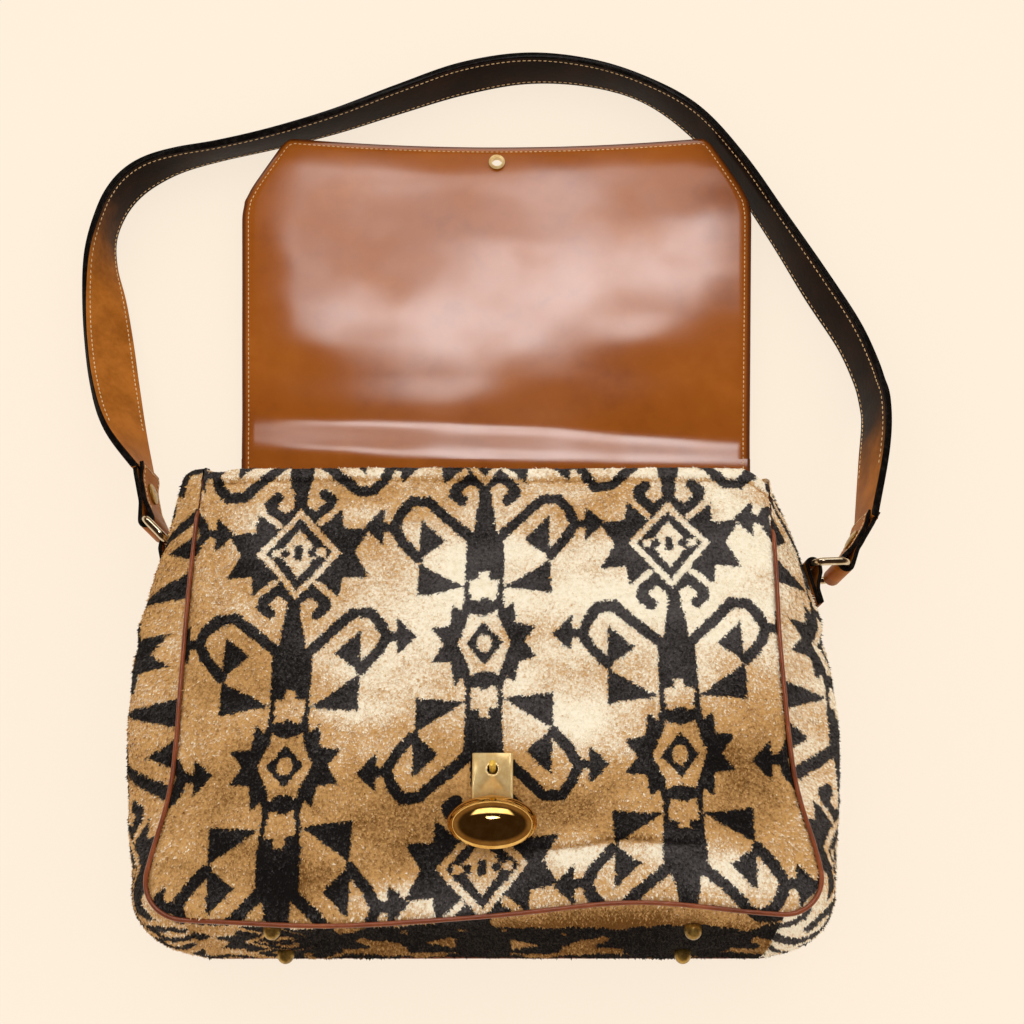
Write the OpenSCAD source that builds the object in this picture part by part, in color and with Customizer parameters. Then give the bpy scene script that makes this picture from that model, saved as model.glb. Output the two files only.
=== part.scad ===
// Velvet carpet bag with a leather flap, a rocking clasp and a shoulder strap.
// It lies on its back: +X to its right, +Y towards its mouth, +Z out of its front panel.
// The origin is on the floor, under the middle of the front panel's height.

/* [Bag body] */
// Width between the side seams at the bottom of the panels
base_width = 346; // [300:1:420]
// Width between the side seams at the mouth
mouth_width = 322; // [280:1:340]
// Height of the front panel
front_height = 244; // [200:1:300]
// Height of the back panel
back_height = 250; // [205:1:305]
// Depth of the bag at its base
base_depth = 90; // [76:1:120]
// Depth of the bag at its mouth
mouth_depth = 75; // [60:1:95]
// How far the back of the base has slumped past the front
base_slump = 16; // [0:1:24]
// Radius of the panels' lower corners
corner_radius = 22; // [16:1:40]
// Thickness of the carpet velvet, pile and backing together
velvet_thickness = 4; // [3:0.5:5]
// How far the side gussets swell past the seams
gusset_swell = 27; // [8:1:34]
// Thickness of the lining
lining_thickness = 1.2; // [0.8:0.1:2]
// Diameter of the leather piping
piping_diameter = 4; // [3.5:0.1:6]

/* [Base and feet] */
// Thickness of the stiff board in the base
board_thickness = 3; // [2:0.5:5]
// Distance between the left and right feet
foot_spacing = 214; // [120:1:250]
// Distance of the feet from the front and back edges of the base
foot_inset = 15.5; // [12:0.5:30]
// Diameter of a foot
foot_diameter = 9; // [8:0.5:16]
// Height of a foot
foot_height = 7; // [4:0.5:10]
// Diameter of the shank that holds a foot
foot_shank = 3; // [2:0.5:5]

/* [Flap] */
// Width of the flap where it is sewn to the back
flap_root_width = 311; // [250:1:316]
// Width of the flap at its shoulders
flap_shoulder_width = 335; // [280:1:350]
// Width of the flap's far edge between its clipped corners
flap_end_width = 280; // [200:1:300]
// Length of the clipped corners along the flap
flap_clip_length = 47; // [20:1:70]
// How much shorter the flap is in the middle of its far edge than at its corners
flap_edge_dip = 7; // [2:1:10]
// Thickness of one flap leather
flap_leather = 1.3; // [1:0.1:1.6]
// Slope of the opened flap
flap_rise = 3.8; // [0:0.1:10]
// Distance from the eyelet's middle to the flap's edge
flap_margin = 13; // [9:0.5:13.5]
// Sideways place of the flap and the clasp, as sewn
closure_x = 5; // [-6:1:6]
// Bore of the closing eyelet
eyelet_bore = 6.8; // [6.6:0.1:7.6]
// Diameter of the eyelet's flanges
eyelet_flange = 10.6; // [10:0.1:13]

/* [Clasp] */
// Height of the catch pin above the bottom seam
clasp_height = 72; // [60:1:110]
// Width of the lock plate
plate_width = 21; // [19:0.5:26]
// Height of the lock plate above the velvet
plate_height = 5; // [5:0.5:7]
// Length of the lock plate above the catch pin
plate_above = 9.2; // [8:0.1:14]
// Distance from the catch pin to the latch's pivot
latch_reach = 13; // [12.5:0.5:16]
// Length of the oval dome
dome_length = 47; // [30:1:56]
// Width of the oval dome
dome_width = 30; // [20:1:34]
// Height of the oval dome
dome_height = 11; // [7:0.5:12]
// How far the latch stands open
latch_open = 14; // [0:1:15]
// Diameter of the catch pin
catch_diameter = 3.4; // [2.6:0.1:3.6]
// Length of the catch pin
catch_length = 12.5; // [10:0.5:13]

/* [Rings] */
// Diameter of the rings' wire
ring_wire = 4.6; // [3:0.1:5.5]
// Inside width of a ring, along the strap's width
ring_inner_width = 33; // [32:0.5:40]
// Inside reach of a ring, from tab to strap
ring_inner_reach = 14.5; // [13:0.5:22]
// Distance of the left ring below the mouth
left_ring_drop = 28; // [20:1:70]
// Distance of the right ring below the mouth
right_ring_drop = 42; // [20:1:70]
// Swing of the left ring towards the mouth
left_ring_swing = 45; // [0:1:50]
// Swing of the right ring towards the mouth
right_ring_swing = 3; // [0:1:50]
// Width of the leather tabs that hold the rings
ring_tab_width = 27; // [20:1:31]
// Length of the leather tabs down the gussets
ring_tab_length = 23; // [20:1:45]

/* [Strap] */
// Width of the shoulder strap
strap_width = 32; // [24:1:34]
// Thickness of the shoulder strap
strap_thickness = 4.6; // [3:0.1:6]
// Width of the strap's folded ends
strap_end_width = 29; // [22:1:32]
// Length of a folded end from the ring to the strap
strap_end_length = 34; // [30:1:50]
// Diameter of the strap rivets' caps
rivet_cap = 13; // [8:0.5:16]

/* [Hidden] */
$fn = 48;

// Shared clearances
seam_gap = 0.3;
slip_fit = 0.2;
overcut = 1;

// How much deeper than the velvet the gussets' edges are sewn
seam_turn = 0.5;

// The panels' planes
front_tilt = asin((base_depth - mouth_depth) / front_height);
front_bottom_y = -front_height / 2;
back_bottom_y = front_bottom_y - base_slump;
back_top_y = back_bottom_y + back_height;
front_top = [front_bottom_y + front_height * cos(front_tilt), mouth_depth];
half_base = base_width / 2;
half_mouth = mouth_width / 2;
piping_radius = piping_diameter / 2;
panel_inset = piping_radius + seam_gap;
seam_depth = max(piping_diameter, velvet_thickness + seam_turn) + seam_gap;

// Shares of the gussets' swell that are left at the mouth and at the base
mouth_share = 0.3;
base_share = 0.5;

// The base, from the back seam to the front seam
base_from = [back_bottom_y, seam_depth];
base_to = [front_bottom_y - seam_depth * sin(front_tilt), base_depth - seam_depth * cos(front_tilt)];
base_lean = atan2(base_to.x - base_from.x, base_to.y - base_from.y);
base_run = norm(base_to - base_from);
washer_thickness = 0.8;
board_from = velvet_thickness + seam_gap;
board_to = board_from + board_thickness;
washer_to = board_to + washer_thickness;

// The lining's distances from the seams
backplate_thickness = 1;
lining_front = velvet_thickness + backplate_thickness + 2 * seam_gap;
lining_back = velvet_thickness + 2 * flap_leather + 2 * seam_gap;
lining_side = velvet_thickness + 2 * seam_gap;
lining_bottom = (washer_to + 2 * seam_gap) / cos(base_lean);
lining_drop = 6;
lining_levels = [0, 0.01, 0.03, 0.06, 0.12, 0.4, 0.7, 1];

// The flap, open and closed
flap_overhang = 4;
flap_seam_width = 17;
flap_thickness = 2 * flap_leather;
hinge = [back_top_y + flap_overhang + seam_gap, velvet_thickness + flap_thickness + seam_gap];
fold_clear = [2, 5.5];
fold = front_top + fold_clear;
eyelet_lead = 1.4;
eyelet_wall = 0.5;
eyelet_rim = 0.8;
collar_height = 1;
closed_lift = plate_height + collar_height + eyelet_rim + 2 * seam_gap;
eyelet_closed = [
    front_bottom_y + (clasp_height + eyelet_lead) * cos(front_tilt) + closed_lift * sin(front_tilt),
    base_depth - (clasp_height + eyelet_lead) * sin(front_tilt) + closed_lift * cos(front_tilt)
];
flap_top_length = norm(fold - hinge);
flap_front_reach = norm(eyelet_closed - fold);
eyelet_at = flap_top_length + flap_front_reach;
flap_length = eyelet_at + flap_margin;
flap_corner_round = 8;

// The clasp, measured from the catch pin's foot on the velvet
plate_wall = 1;
plate_round = 1.2;
plate_below = latch_reach + 1.5;
pivot_lift = 2.2;
pivot_diameter = 1.4;
hub_diameter = 3;
arm_width = 8;
arm_thickness = 1.6;
arm_tail = 20;
arm_nose = 2.5;
dome_lift = 3.1;
dome_sink = dome_width / 2 - dome_height;
dome_edge = sqrt(pow(dome_width / 2, 2) - pow(dome_sink, 2));
dome_gap = 0.8;
collar_bore = 5.8;
collar_wall = 1.3;
collar_y = 0.6;
leg_diameter = 2;
leg_x = plate_width / 2 - 2.7;
leg_rows = [plate_above - 3.2, -latch_reach + 4];
leg_end = velvet_thickness + backplate_thickness + seam_gap;
window_width = 11;
catch_shank = 2;

// The rings and what holds them
ring_lean = 5;
ring_place = 0.55;
tab_leather = 2.2;
loop_clear = 0.3;
tab_slope_step = 0.12;
ring_bend = 5;
ring_reach = ring_inner_reach + ring_wire;
left_strap_turn = 15;
right_strap_turn = 33;
loop_leather = 2.5;
loop_taper = 14;
rivet_at = 21;
rivet_post = 3.5;
rivet_crown = 2.2;
rivet_foot = 10;
rivet_foot_height = 1.2;

// Strap route between the two folded ends: x, y, lift of its lower edge and lean from the floor
strap_route = [
    [-220, 166.5, 17, 56], [-231, 199, 11, 42], [-239.5, 232, 4.8, 40], [-246, 263.5, 1, 51],
    [-250.5, 290.5, 0.5, 70], [-250.5, 314, 0.4, 84], [-246, 333, 0.4, 87], [-237.5, 348, 0.4, 89],
    [-225, 359, 0.4, 93], [-206, 368, 0.4, 101], [-179, 375.5, 0.4, 107], [-144, 385, 0.4, 106],
    [-103.5, 398.5, 0.4, 102], [-61.5, 416, 0.4, 96], [-19, 432.5, 0.4, 91], [24.5, 441, 0.4, 94],
    [67, 437.5, 0.4, 99], [104.5, 424, 0.4, 101], [138, 398.4, 0.4, 91], [165, 360.6, 0.4, 88],
    [188.8, 316.2, 0.4, 86], [210.5, 273, 0.4, 80], [228, 238.5, 0.4, 81], [236.5, 213.5, 0.6, 81],
    [239, 196.5, 2.6, 80], [238.5, 179, 8, 77], [233.5, 150, 13.5, 75]
];
strap_steps = 2;

// Helpers
function lerp(a, b, t) = a + (b - a) * t;
function unit(v) = v / norm(v);
function across(v, axis) = unit(v - axis * (v * axis));

// Joins rings of points into one closed skin, with bands of faces over both ends
module loft(rings) {
    m = len(rings[0]);
    last = (len(rings) - 1) * m;
    sides = [
        for (i = [0 : len(rings) - 2], j = [0 : m - 1])
            let (a = i * m + j, b = i * m + (j + 1) % m)
                each [[a, b, b + m], [a, b + m, a + m]]
    ];
    ends = [
        for (j = [0 : m / 2 - 2])
            each [
                [j + 1, j, m - 1 - j],
                [j + 1, m - 1 - j, m - 2 - j],
                [last + j, last + j + 1, last + m - 2 - j],
                [last + j, last + m - 2 - j, last + m - 1 - j]
            ]
    ];
    polyhedron([for (ring = rings) each ring], concat(sides, ends));
}

// A corner at p between a and b, as an arc of n steps
function corner(a, p, b, r, n = 6) =
    let (
        u = unit(a - p),
        v = unit(b - p),
        half = acos(u * v) / 2,
        reach = r / tan(half),
        centre = p + unit(u + v) * r / sin(half),
        from = p + u * reach - centre,
        to = p + v * reach - centre,
        start = atan2(from.y, from.x),
        turn = atan2(from.x * to.y - from.y * to.x, from * to)
    )
    [for (i = [0 : n]) centre + r * [cos(start + turn * i / n), sin(start + turn * i / n)]];

// Side seam of a panel of height h: its slope, its corner's middle and where the corner begins
function side_slope(h) = atan((half_base - half_mouth) / h);
function corner_x(h) =
    half_base - corner_radius * (tan(side_slope(h)) + 1 / cos(side_slope(h)));
function corner_start(h, inset) =
    [corner_x(h), corner_radius]
        + (corner_radius - inset) * [cos(side_slope(h)), sin(side_slope(h))];
function side_top(h, inset) = [half_mouth - inset / cos(side_slope(h)), h];

// Point k along the right side seam: 0 at the mouth, 1 where the corner begins, 2 on the base
function side_point(h, k, inset) =
    let (a = side_slope(h) - (k - 1) * (90 + side_slope(h)))
    k <= 1
        ? lerp(side_top(h, inset), corner_start(h, inset), k)
        : [corner_x(h), corner_radius] + (corner_radius - inset) * [cos(a), sin(a)];

// Half width of a panel at height q above its bottom seam
function half_width(h, q, inset) =
    q >= corner_radius
        ? half_base - q * tan(side_slope(h)) - inset / cos(side_slope(h))
        : corner_x(h) + sqrt(max(0, pow(corner_radius - inset, 2) - pow(corner_radius - q, 2)));

// Outline of a panel, inset from its seams
function panel_outline(h, inset) =
    let (right = [for (k = [2 : -1 / 8 : 1]) side_point(h, k, inset)])
    concat(
        right,
        [side_top(h, inset), [-side_top(h, inset).x, h]],
        [for (i = [len(right) - 1 : -1 : 0]) [-right[i].x, right[i].y]]
    );

// Points of the panels' planes, at a depth below their outer faces
function front_point(p, depth) = [
    p.x,
    front_bottom_y + p.y * cos(front_tilt) - depth * sin(front_tilt),
    base_depth - p.y * sin(front_tilt) - depth * cos(front_tilt)
];
function back_point(p, depth) = [p.x, back_bottom_y + p.y, depth];

module on_front() {
    translate([0, front_bottom_y, base_depth])
        rotate([-front_tilt, 0, 0])
            children();
}

module on_back() {
    translate([0, back_bottom_y, 0])
        children();
}

// Along the base: y goes into the bag, z from the back seam to the front seam
module on_base() {
    translate([0, base_from.x, base_from.y])
        rotate([-base_lean, 0, 0])
            children();
}

// On the velvet under the catch pin: y towards the mouth, z out of the front panel
module on_clasp() {
    on_front()
        translate([closure_x, clasp_height, 0])
            children();
}

// On the latch's pivot, turned as the latch stands
module on_latch() {
    on_clasp()
        translate([0, -latch_reach, pivot_lift])
            rotate([-latch_open, 0, 0])
                children();
}

// On the opened flap: y along it from its hinge line, z up from its inner leather
module on_flap() {
    translate([closure_x, hinge.x, hinge.y])
        rotate([flap_rise, 0, 0])
            translate([0, 0, -seam_gap])
                children();
}

// Velvet body
// The gussets swell most at half height, less at the base and least at the mouth
function gusset_bulge(k) =
    gusset_swell
        * (
            k <= 0.5
                ? lerp(mouth_share, 1, sin(180 * k))
                : k <= 1
                    ? lerp(base_share, 1, sin(180 * k))
                    : base_share * cos(90 * (k - 1))
        );
function gusset_point(k, s, depth) =
    let (inset = depth - gusset_bulge(k) * 4 * s * (1 - s))
    lerp(
        front_point(side_point(front_height, k, inset), seam_depth),
        back_point(side_point(back_height, k, inset), seam_depth),
        s
    );

module gusset() {
    rings = [
        for (k = [0 : 0.125 : 2]) concat(
            [for (s = [0 : 0.125 : 1]) gusset_point(k, s, 0)],
            [for (s = [1 : -0.125 : 0]) gusset_point(k, s, velvet_thickness)]
        )
    ];
    loft(rings);
}

module front_panel() {
    color("tan")
        difference() {
            on_front()
                translate([0, 0, -velvet_thickness])
                    linear_extrude(velvet_thickness)
                        polygon(panel_outline(front_height, panel_inset));
            on_clasp() {
                translate([-window_width / 2, -plate_below, -velvet_thickness - overcut])
                    cube([window_width, plate_below + arm_nose + 2, velvet_thickness + 2 * overcut]);
                plate_legs(leg_diameter + slip_fit);
            }
        }
}

module back_panel() {
    color("tan")
        on_back()
            linear_extrude(velvet_thickness)
                polygon(panel_outline(back_height, panel_inset));
}

module left_gusset() {
    color("burlywood")
        mirror([1, 0, 0])
            gusset();
}

module right_gusset() {
    color("burlywood")
        gusset();
}

base_half = min(corner_x(front_height), corner_x(back_height)) - seam_gap;
foot_places = [
    for (x = [-1, 1], z = [foot_inset, base_run - foot_inset]) [x * foot_spacing / 2, z]
];

// A round bar at each foot, from depth y0 to y1
module foot_bars(d, y0, y1) {
    for (place = foot_places)
        translate([place.x, y0, place.y])
            rotate([-90, 0, 0])
                cylinder(d = d, h = y1 - y0);
}

module base_gusset() {
    color("burlywood")
        on_base()
            difference() {
                translate([-base_half, 0, 0])
                    cube([2 * base_half, velvet_thickness, base_run]);
                foot_bars(foot_shank + slip_fit, -overcut, velvet_thickness + overcut);
            }
}

// Piping down both side seams and along the bottom seam of a panel
function piping_ring(h, k, side) =
    let (
        p = side_point(h, k, 0),
        out = unit(p - side_point(h, k, 1))
    )
    [
        for (a = [15 : 30 : 345])
            let (edge = p + piping_radius * cos(a) * out)
                [side * edge.x, edge.y, piping_radius * sin(a)]
    ];

module piping(h) {
    along = [0, for (k = [1 : 0.125 : 2]) k];
    loft(concat(
        [for (k = along) piping_ring(h, k, 1)],
        [for (i = [len(along) - 1 : -1 : 0]) piping_ring(h, along[i], -1)]
    ));
}

module front_piping() {
    color("sienna")
        on_front()
            translate([0, 0, -piping_radius])
                piping(front_height);
}

module back_piping() {
    color("sienna")
        on_back()
            translate([0, 0, piping_radius])
                piping(back_height);
}

// Cross-section of the lining at a level, drawn in by a further distance
function lining_ring(level, in) =
    let (
        qf = lerp(lining_bottom + in, front_height - lining_drop, level),
        qb = lerp(lining_bottom + in, back_height - lining_drop, level),
        xf = half_width(front_height, qf, lining_side + in),
        xb = half_width(back_height, qb, lining_side + in)
    )
    [
        front_point([-xf, qf], lining_front + in),
        front_point([xf, qf], lining_front + in),
        back_point([xb, qb], lining_back + in),
        back_point([-xb, qb], lining_back + in)
    ];

module lining() {
    last = len(lining_levels) - 1;
    color("saddlebrown")
        loft(concat(
            [for (level = lining_levels) lining_ring(level, 0)],
            [for (i = [last : -1 : 0]) lining_ring(lining_levels[i], lining_thickness)]
        ));
}

// Base board and feet
module base_board() {
    edge = seam_gap + lining_front;
    color("peru")
        on_base()
            difference() {
                translate([edge - base_half, board_from, edge])
                    cube([2 * (base_half - edge), board_thickness, base_run - 2 * edge]);
                foot_bars(foot_shank + slip_fit, 0, board_to + overcut);
            }
}

module feet() {
    crown = foot_diameter / 2;
    color("goldenrod")
        on_base()
            for (place = foot_places)
                translate([place.x, 0, place.y])
                    rotate([90, 0, 0])
                        rotate_extrude()
                            polygon(concat(
                                [[0, -washer_to], [foot_shank / 2, -washer_to], [foot_shank / 2, 0]],
                                [[crown, 0], [crown, foot_height / 3]],
                                [
                                    for (a = [15 : 15 : 90])
                                        [crown * cos(a), foot_height * (1 + 2 * sin(a)) / 3]
                                ]
                            ));
}

module foot_washers() {
    color("goldenrod")
        on_base()
            difference() {
                foot_bars(foot_diameter * 0.8, board_to, washer_to);
                foot_bars(foot_shank + slip_fit, board_from, washer_to + overcut);
            }
}

// Flap
function flap_half(y) =
    lerp(flap_root_width, flap_shoulder_width, y / (flap_length + flap_edge_dip - flap_clip_length)) / 2;
function flap_edge(x) = flap_length + flap_edge_dip * pow(2 * x / flap_end_width, 2);

// The sewn strip stays between the gussets
module flap_root_outline() {
    w = flap_root_width / 2 - abs(closure_x) - velvet_thickness - 3 * seam_gap;
    translate([-w, -flap_seam_width])
        square([2 * w, flap_seam_width]);
}

module flap_top_outline() {
    y0 = seam_gap;
    y1 = flap_top_length - seam_gap;
    polygon([
        [-flap_half(y0), y0], [flap_half(y0), y0], [flap_half(y1), y1], [-flap_half(y1), y1]
    ]);
}

module flap_front_outline() {
    y0 = flap_top_length + seam_gap;
    shoulder_y = flap_length + flap_edge_dip - flap_clip_length;
    root = [flap_half(y0), y0];
    shoulder = [flap_shoulder_width / 2, shoulder_y];
    tip = [flap_end_width / 2, flap_length + flap_edge_dip];
    dip = [flap_end_width / 4, flap_edge(flap_end_width / 4)];
    right = concat(
        [root],
        corner(root, shoulder, tip, flap_corner_round),
        corner(shoulder, tip, dip, flap_corner_round),
        [for (x = [flap_end_width / 4, flap_end_width / 8]) [x, flap_edge(x)]]
    );
    polygon(concat(
        right,
        [[0, flap_length]],
        [for (i = [len(right) - 1 : -1 : 0]) [-right[i].x, right[i].y]]
    ));
}

// The outer leather lies under the inner one while the flap is open
module leather(layer) {
    translate([0, 0, -(layer + 1) * flap_leather])
        linear_extrude(flap_leather)
            children();
}

module flap_root() {
    color("chocolate")
        translate([closure_x, hinge.x - seam_gap, velvet_thickness])
            linear_extrude(flap_thickness)
                flap_root_outline();
}

module flap_top_outer() {
    color("sienna")
        on_flap()
            leather(1)
                flap_top_outline();
}

module flap_top_inner() {
    color("chocolate")
        on_flap()
            leather(0)
                flap_top_outline();
}

eyelet_barrel = eyelet_bore + 2 * eyelet_wall;

module flap_front_outer() {
    color("sienna")
        on_flap()
            leather(1)
                difference() {
                    flap_front_outline();
                    translate([0, eyelet_at])
                        circle(d = eyelet_barrel + slip_fit);
                }
}

module flap_front_inner() {
    color("chocolate")
        on_flap()
            leather(0)
                difference() {
                    flap_front_outline();
                    translate([0, eyelet_at])
                        circle(d = eyelet_barrel + slip_fit);
                }
}

// Flange on the flap's outside and a barrel through both leathers
module eyelet() {
    color("gold")
        on_flap()
            translate([0, eyelet_at, -flap_thickness - eyelet_rim])
                difference() {
                    union() {
                        cylinder(d = eyelet_flange, h = eyelet_rim);
                        cylinder(d = eyelet_barrel, h = flap_thickness + 2 * eyelet_rim);
                    }
                    translate([0, 0, -overcut])
                        cylinder(d = eyelet_bore, h = flap_thickness + 2 * eyelet_rim + 2 * overcut);
                }
}

module eyelet_washer() {
    color("gold")
        on_flap()
            translate([0, eyelet_at, 0])
                rotate_extrude()
                    polygon([
                        [eyelet_barrel / 2 + slip_fit / 2, 0],
                        [eyelet_flange / 2, 0],
                        [eyelet_flange / 2, eyelet_rim / 3],
                        [eyelet_barrel / 2 + slip_fit / 2, eyelet_rim]
                    ]);
}

// Clasp
module plate_legs(d) {
    for (x = [-leg_x, leg_x], y = leg_rows)
        translate([x, y, -leg_end])
            cylinder(d = d, h = leg_end + plate_height - plate_wall / 2);
}

// Hole across the plate's side walls, or a pin in it
module pivot_bar(d, length) {
    translate([-length / 2, -latch_reach, pivot_lift])
        rotate([0, 90, 0])
            cylinder(d = d, h = length);
}

// Section of the plate: a channel with round upper edges
module plate_section() {
    w = plate_width / 2;
    difference() {
        polygon(concat(
            [[-w, 0], [w, 0]],
            corner([w, 0], [w, plate_height], [-w, plate_height], plate_round),
            corner([w, plate_height], [-w, plate_height], [-w, 0], plate_round)
        ));
        translate([plate_wall - w, -overcut])
            square([2 * (w - plate_wall), plate_height - plate_wall + overcut]);
    }
}

module lock_plate() {
    color("gold")
        on_clasp()
            difference() {
                union() {
                    translate([0, plate_above, 0])
                        rotate([90, 0, 0])
                            linear_extrude(plate_above + plate_below)
                                plate_section();
                    translate([plate_wall - plate_width / 2, plate_above - plate_wall, 0])
                        cube([plate_width - 2 * plate_wall, plate_wall, plate_height - plate_wall]);
                    translate([0, collar_y, plate_height])
                        cylinder(d = collar_bore + 2 * collar_wall, h = collar_height);
                    plate_legs(leg_diameter);
                }
                translate([0, collar_y, plate_height - plate_wall - overcut])
                    cylinder(d = collar_bore, h = plate_wall + collar_height + 2 * overcut);
                pivot_bar(pivot_diameter, plate_width + 2 * overcut);
            }
}

// Plate behind the front panel that the legs are peened over
module lock_backplate() {
    margin = 2;
    width = 2 * leg_x + leg_diameter + 2 * margin;
    length = leg_rows[0] - leg_rows[1] + leg_diameter + 2 * margin;
    color("darkgoldenrod")
        on_clasp()
            difference() {
                translate([-width / 2, leg_rows[1] - leg_diameter / 2 - margin, -leg_end + seam_gap])
                    cube([width, length, backplate_thickness]);
                plate_legs(leg_diameter + slip_fit);
            }
}

module latch_pivot() {
    color("silver")
        on_clasp()
            pivot_bar(pivot_diameter, plate_width);
}

// Arm that carries the catch pin at its nose and the dome on its tail
module latch_lever() {
    hub_length = plate_width - 2 * plate_wall - 2 * slip_fit;
    block_from = -arm_tail;
    block_to = -3;
    color("darkgoldenrod")
        on_latch()
            difference() {
                union() {
                    translate([-arm_width / 2, -arm_tail, -arm_thickness / 2])
                        cube([arm_width, arm_tail + latch_reach + arm_nose, arm_thickness]);
                    translate([-arm_width / 2, block_from, 0])
                        cube([arm_width, block_to - block_from, dome_lift]);
                    translate([-hub_length / 2, 0, 0])
                        rotate([0, 90, 0])
                            cylinder(d = hub_diameter, h = hub_length);
                }
                translate([-hub_length / 2 - overcut, 0, 0])
                    rotate([0, 90, 0])
                        cylinder(d = pivot_diameter + slip_fit, h = hub_length + 2 * overcut);
                translate([0, latch_reach, -arm_thickness])
                    cylinder(d = catch_shank, h = 2 * arm_thickness);
            }
}

// Upper part of an egg-shaped body turned about its long axis
module latch_dome() {
    steps = 18;
    color("gold")
        on_latch()
            translate([0, -dome_gap - dome_edge, dome_lift - dome_sink])
                difference() {
                    rotate([0, 90, 0])
                        rotate_extrude()
                            polygon([
                                for (i = [0 : steps])
                                    let (a = -90 + 180 * i / steps)
                                        [max(0, dome_width / 2 * cos(a)), dome_length / 2 * sin(a)]
                            ]);
                    translate([-dome_length, -dome_width, dome_sink - 2 * dome_width])
                        cube([2 * dome_length, 2 * dome_width, 2 * dome_width]);
                }
}

// Pin with a shank in the arm and a slanted tip
module catch_pin() {
    tip_slant = 35;
    color("gold")
        on_latch()
            translate([0, latch_reach, 0])
                difference() {
                    union() {
                        translate([0, 0, -arm_thickness / 2])
                            cylinder(d = catch_shank, h = arm_thickness);
                        translate([0, 0, arm_thickness / 2])
                            cylinder(d = catch_diameter, h = catch_length - arm_thickness / 2);
                    }
                    translate([0, catch_diameter / 2, catch_length - catch_diameter])
                        rotate([-tip_slant, 0, 0])
                            translate([-catch_diameter, 0, -catch_diameter])
                                cube([2 * catch_diameter, 2 * catch_diameter, 4 * catch_diameter]);
                }
}

// Rings: a frame of three directions for each side, at a place on the gusset
function ring_k(drop) =
    drop * cos(front_tilt) / norm(side_top(front_height, 0) - corner_start(front_height, 0));
function side_of(p, side) = [p.x * side, p.y, p.z];
function tab_foot(side, drop) = side_of(gusset_point(ring_k(drop), ring_place, 0), side);
function tab_down(side, drop) =
    across(
        side_of(gusset_point(ring_k(drop) + tab_slope_step, ring_place, 0), side) - tab_foot(side, drop),
        bar_dir(side)
    );
function bar_dir(side) = [side * sin(ring_lean), 0, cos(ring_lean)];
function tab_out(side, drop) = side * cross(bar_dir(side), tab_down(side, drop));
loop_bore = ring_wire + 2 * loop_clear;

// The tab lies on the gusset's highest point under it
function tab_rest(side, drop) =
    max([
        for (s = [0.3 : 0.05 : 0.7], k = [ring_k(drop) : 0.03 : ring_k(drop + ring_tab_length)])
            (side_of(gusset_point(k, s, 0), side) - tab_foot(side, drop)) * tab_out(side, drop)
    ]);
function tab_bar(side, drop) =
    tab_foot(side, drop)
        + tab_out(side, drop) * (tab_rest(side, drop) + tab_leather + loop_bore / 2);
function swung(side, swing) =
    let (flat = [side * cos(ring_lean), 0, -sin(ring_lean)])
    flat * cos(swing) + [0, 1, 0] * sin(swing);
function ring_bar(side, drop, swing) = tab_bar(side, drop) + swung(side, swing) * ring_reach;

// Puts children in a frame with its own origin and directions
module in_frame(origin, x, y, z) {
    multmatrix([
        [x.x, y.x, z.x, origin.x],
        [x.y, y.y, z.y, origin.y],
        [x.z, y.z, z.z, origin.z],
        [0, 0, 0, 1]
    ])
        children();
}

// Where a corner's quarter turn starts: x is 0 at the tab and 1 at the strap
function ring_quarter(x, z) = x == 1 ? (z > 0 ? 0 : -90) : (z > 0 ? 90 : 180);

// Round-cornered ring in the plane of x (its reach) and z (its width), from the tab's bar
module ring_shape() {
    w = (ring_inner_width + ring_wire) / 2;
    for (z = [-1, 1]) {
        translate([ring_bend, 0, z * w])
            rotate([0, 90, 0])
                cylinder(d = ring_wire, h = ring_reach - 2 * ring_bend);
        for (x = [0, 1])
            translate([x * (ring_reach - 2 * ring_bend) + ring_bend, 0, z * (w - ring_bend)])
                rotate([90, 0, 0])
                    rotate([0, 0, ring_quarter(x, z)])
                        rotate_extrude(angle = 90)
                            translate([ring_bend, 0])
                                circle(d = ring_wire);
    }
    for (x = [0, ring_reach])
        translate([x, 0, ring_bend - w])
            cylinder(d = ring_wire, h = 2 * (w - ring_bend));
}

module ring(side, drop, swing) {
    arm = swung(side, swing);
    color("silver")
        in_frame(tab_bar(side, drop), arm, cross(bar_dir(side), arm), bar_dir(side))
            ring_shape();
}

module left_ring() {
    ring(-1, left_ring_drop, left_ring_swing);
}

module right_ring() {
    ring(1, right_ring_drop, right_ring_swing);
}

// Leather folded round the ring's inner bar, its two legs flat down the gusset
module ring_tab(side, drop) {
    outer = loop_bore / 2 + tab_leather;
    out = tab_out(side, drop);
    down = tab_down(side, drop);
    color("chocolate")
        in_frame(tab_bar(side, drop), out, down, cross(out, down))
            translate([0, 0, -ring_tab_width / 2])
                linear_extrude(ring_tab_width)
                    difference() {
                        union() {
                            circle(r = outer);
                            translate([-outer, 0])
                                square([2 * tab_leather, ring_tab_length]);
                        }
                        circle(d = loop_bore);
                    }
}

module left_ring_tab() {
    ring_tab(-1, left_ring_drop);
}

module right_ring_tab() {
    ring_tab(1, right_ring_drop);
}

// Strap
function strap_middle(lean) = (strap_width * sin(lean) + strap_thickness * abs(cos(lean))) / 2;
function end_station(side, drop, swing, turn) =
    let (
        p = ring_bar(side, drop, swing) + end_dir(side, turn) * (strap_end_length + seam_gap),
        lean = 90 - ring_lean
    )
    [p.x, p.y, p.z - strap_middle(lean), lean];
stations = concat(
    [end_station(-1, left_ring_drop, left_ring_swing, left_strap_turn)],
    strap_route,
    [end_station(1, right_ring_drop, right_ring_swing, right_strap_turn)]
);
last_station = len(stations) - 1;

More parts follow.
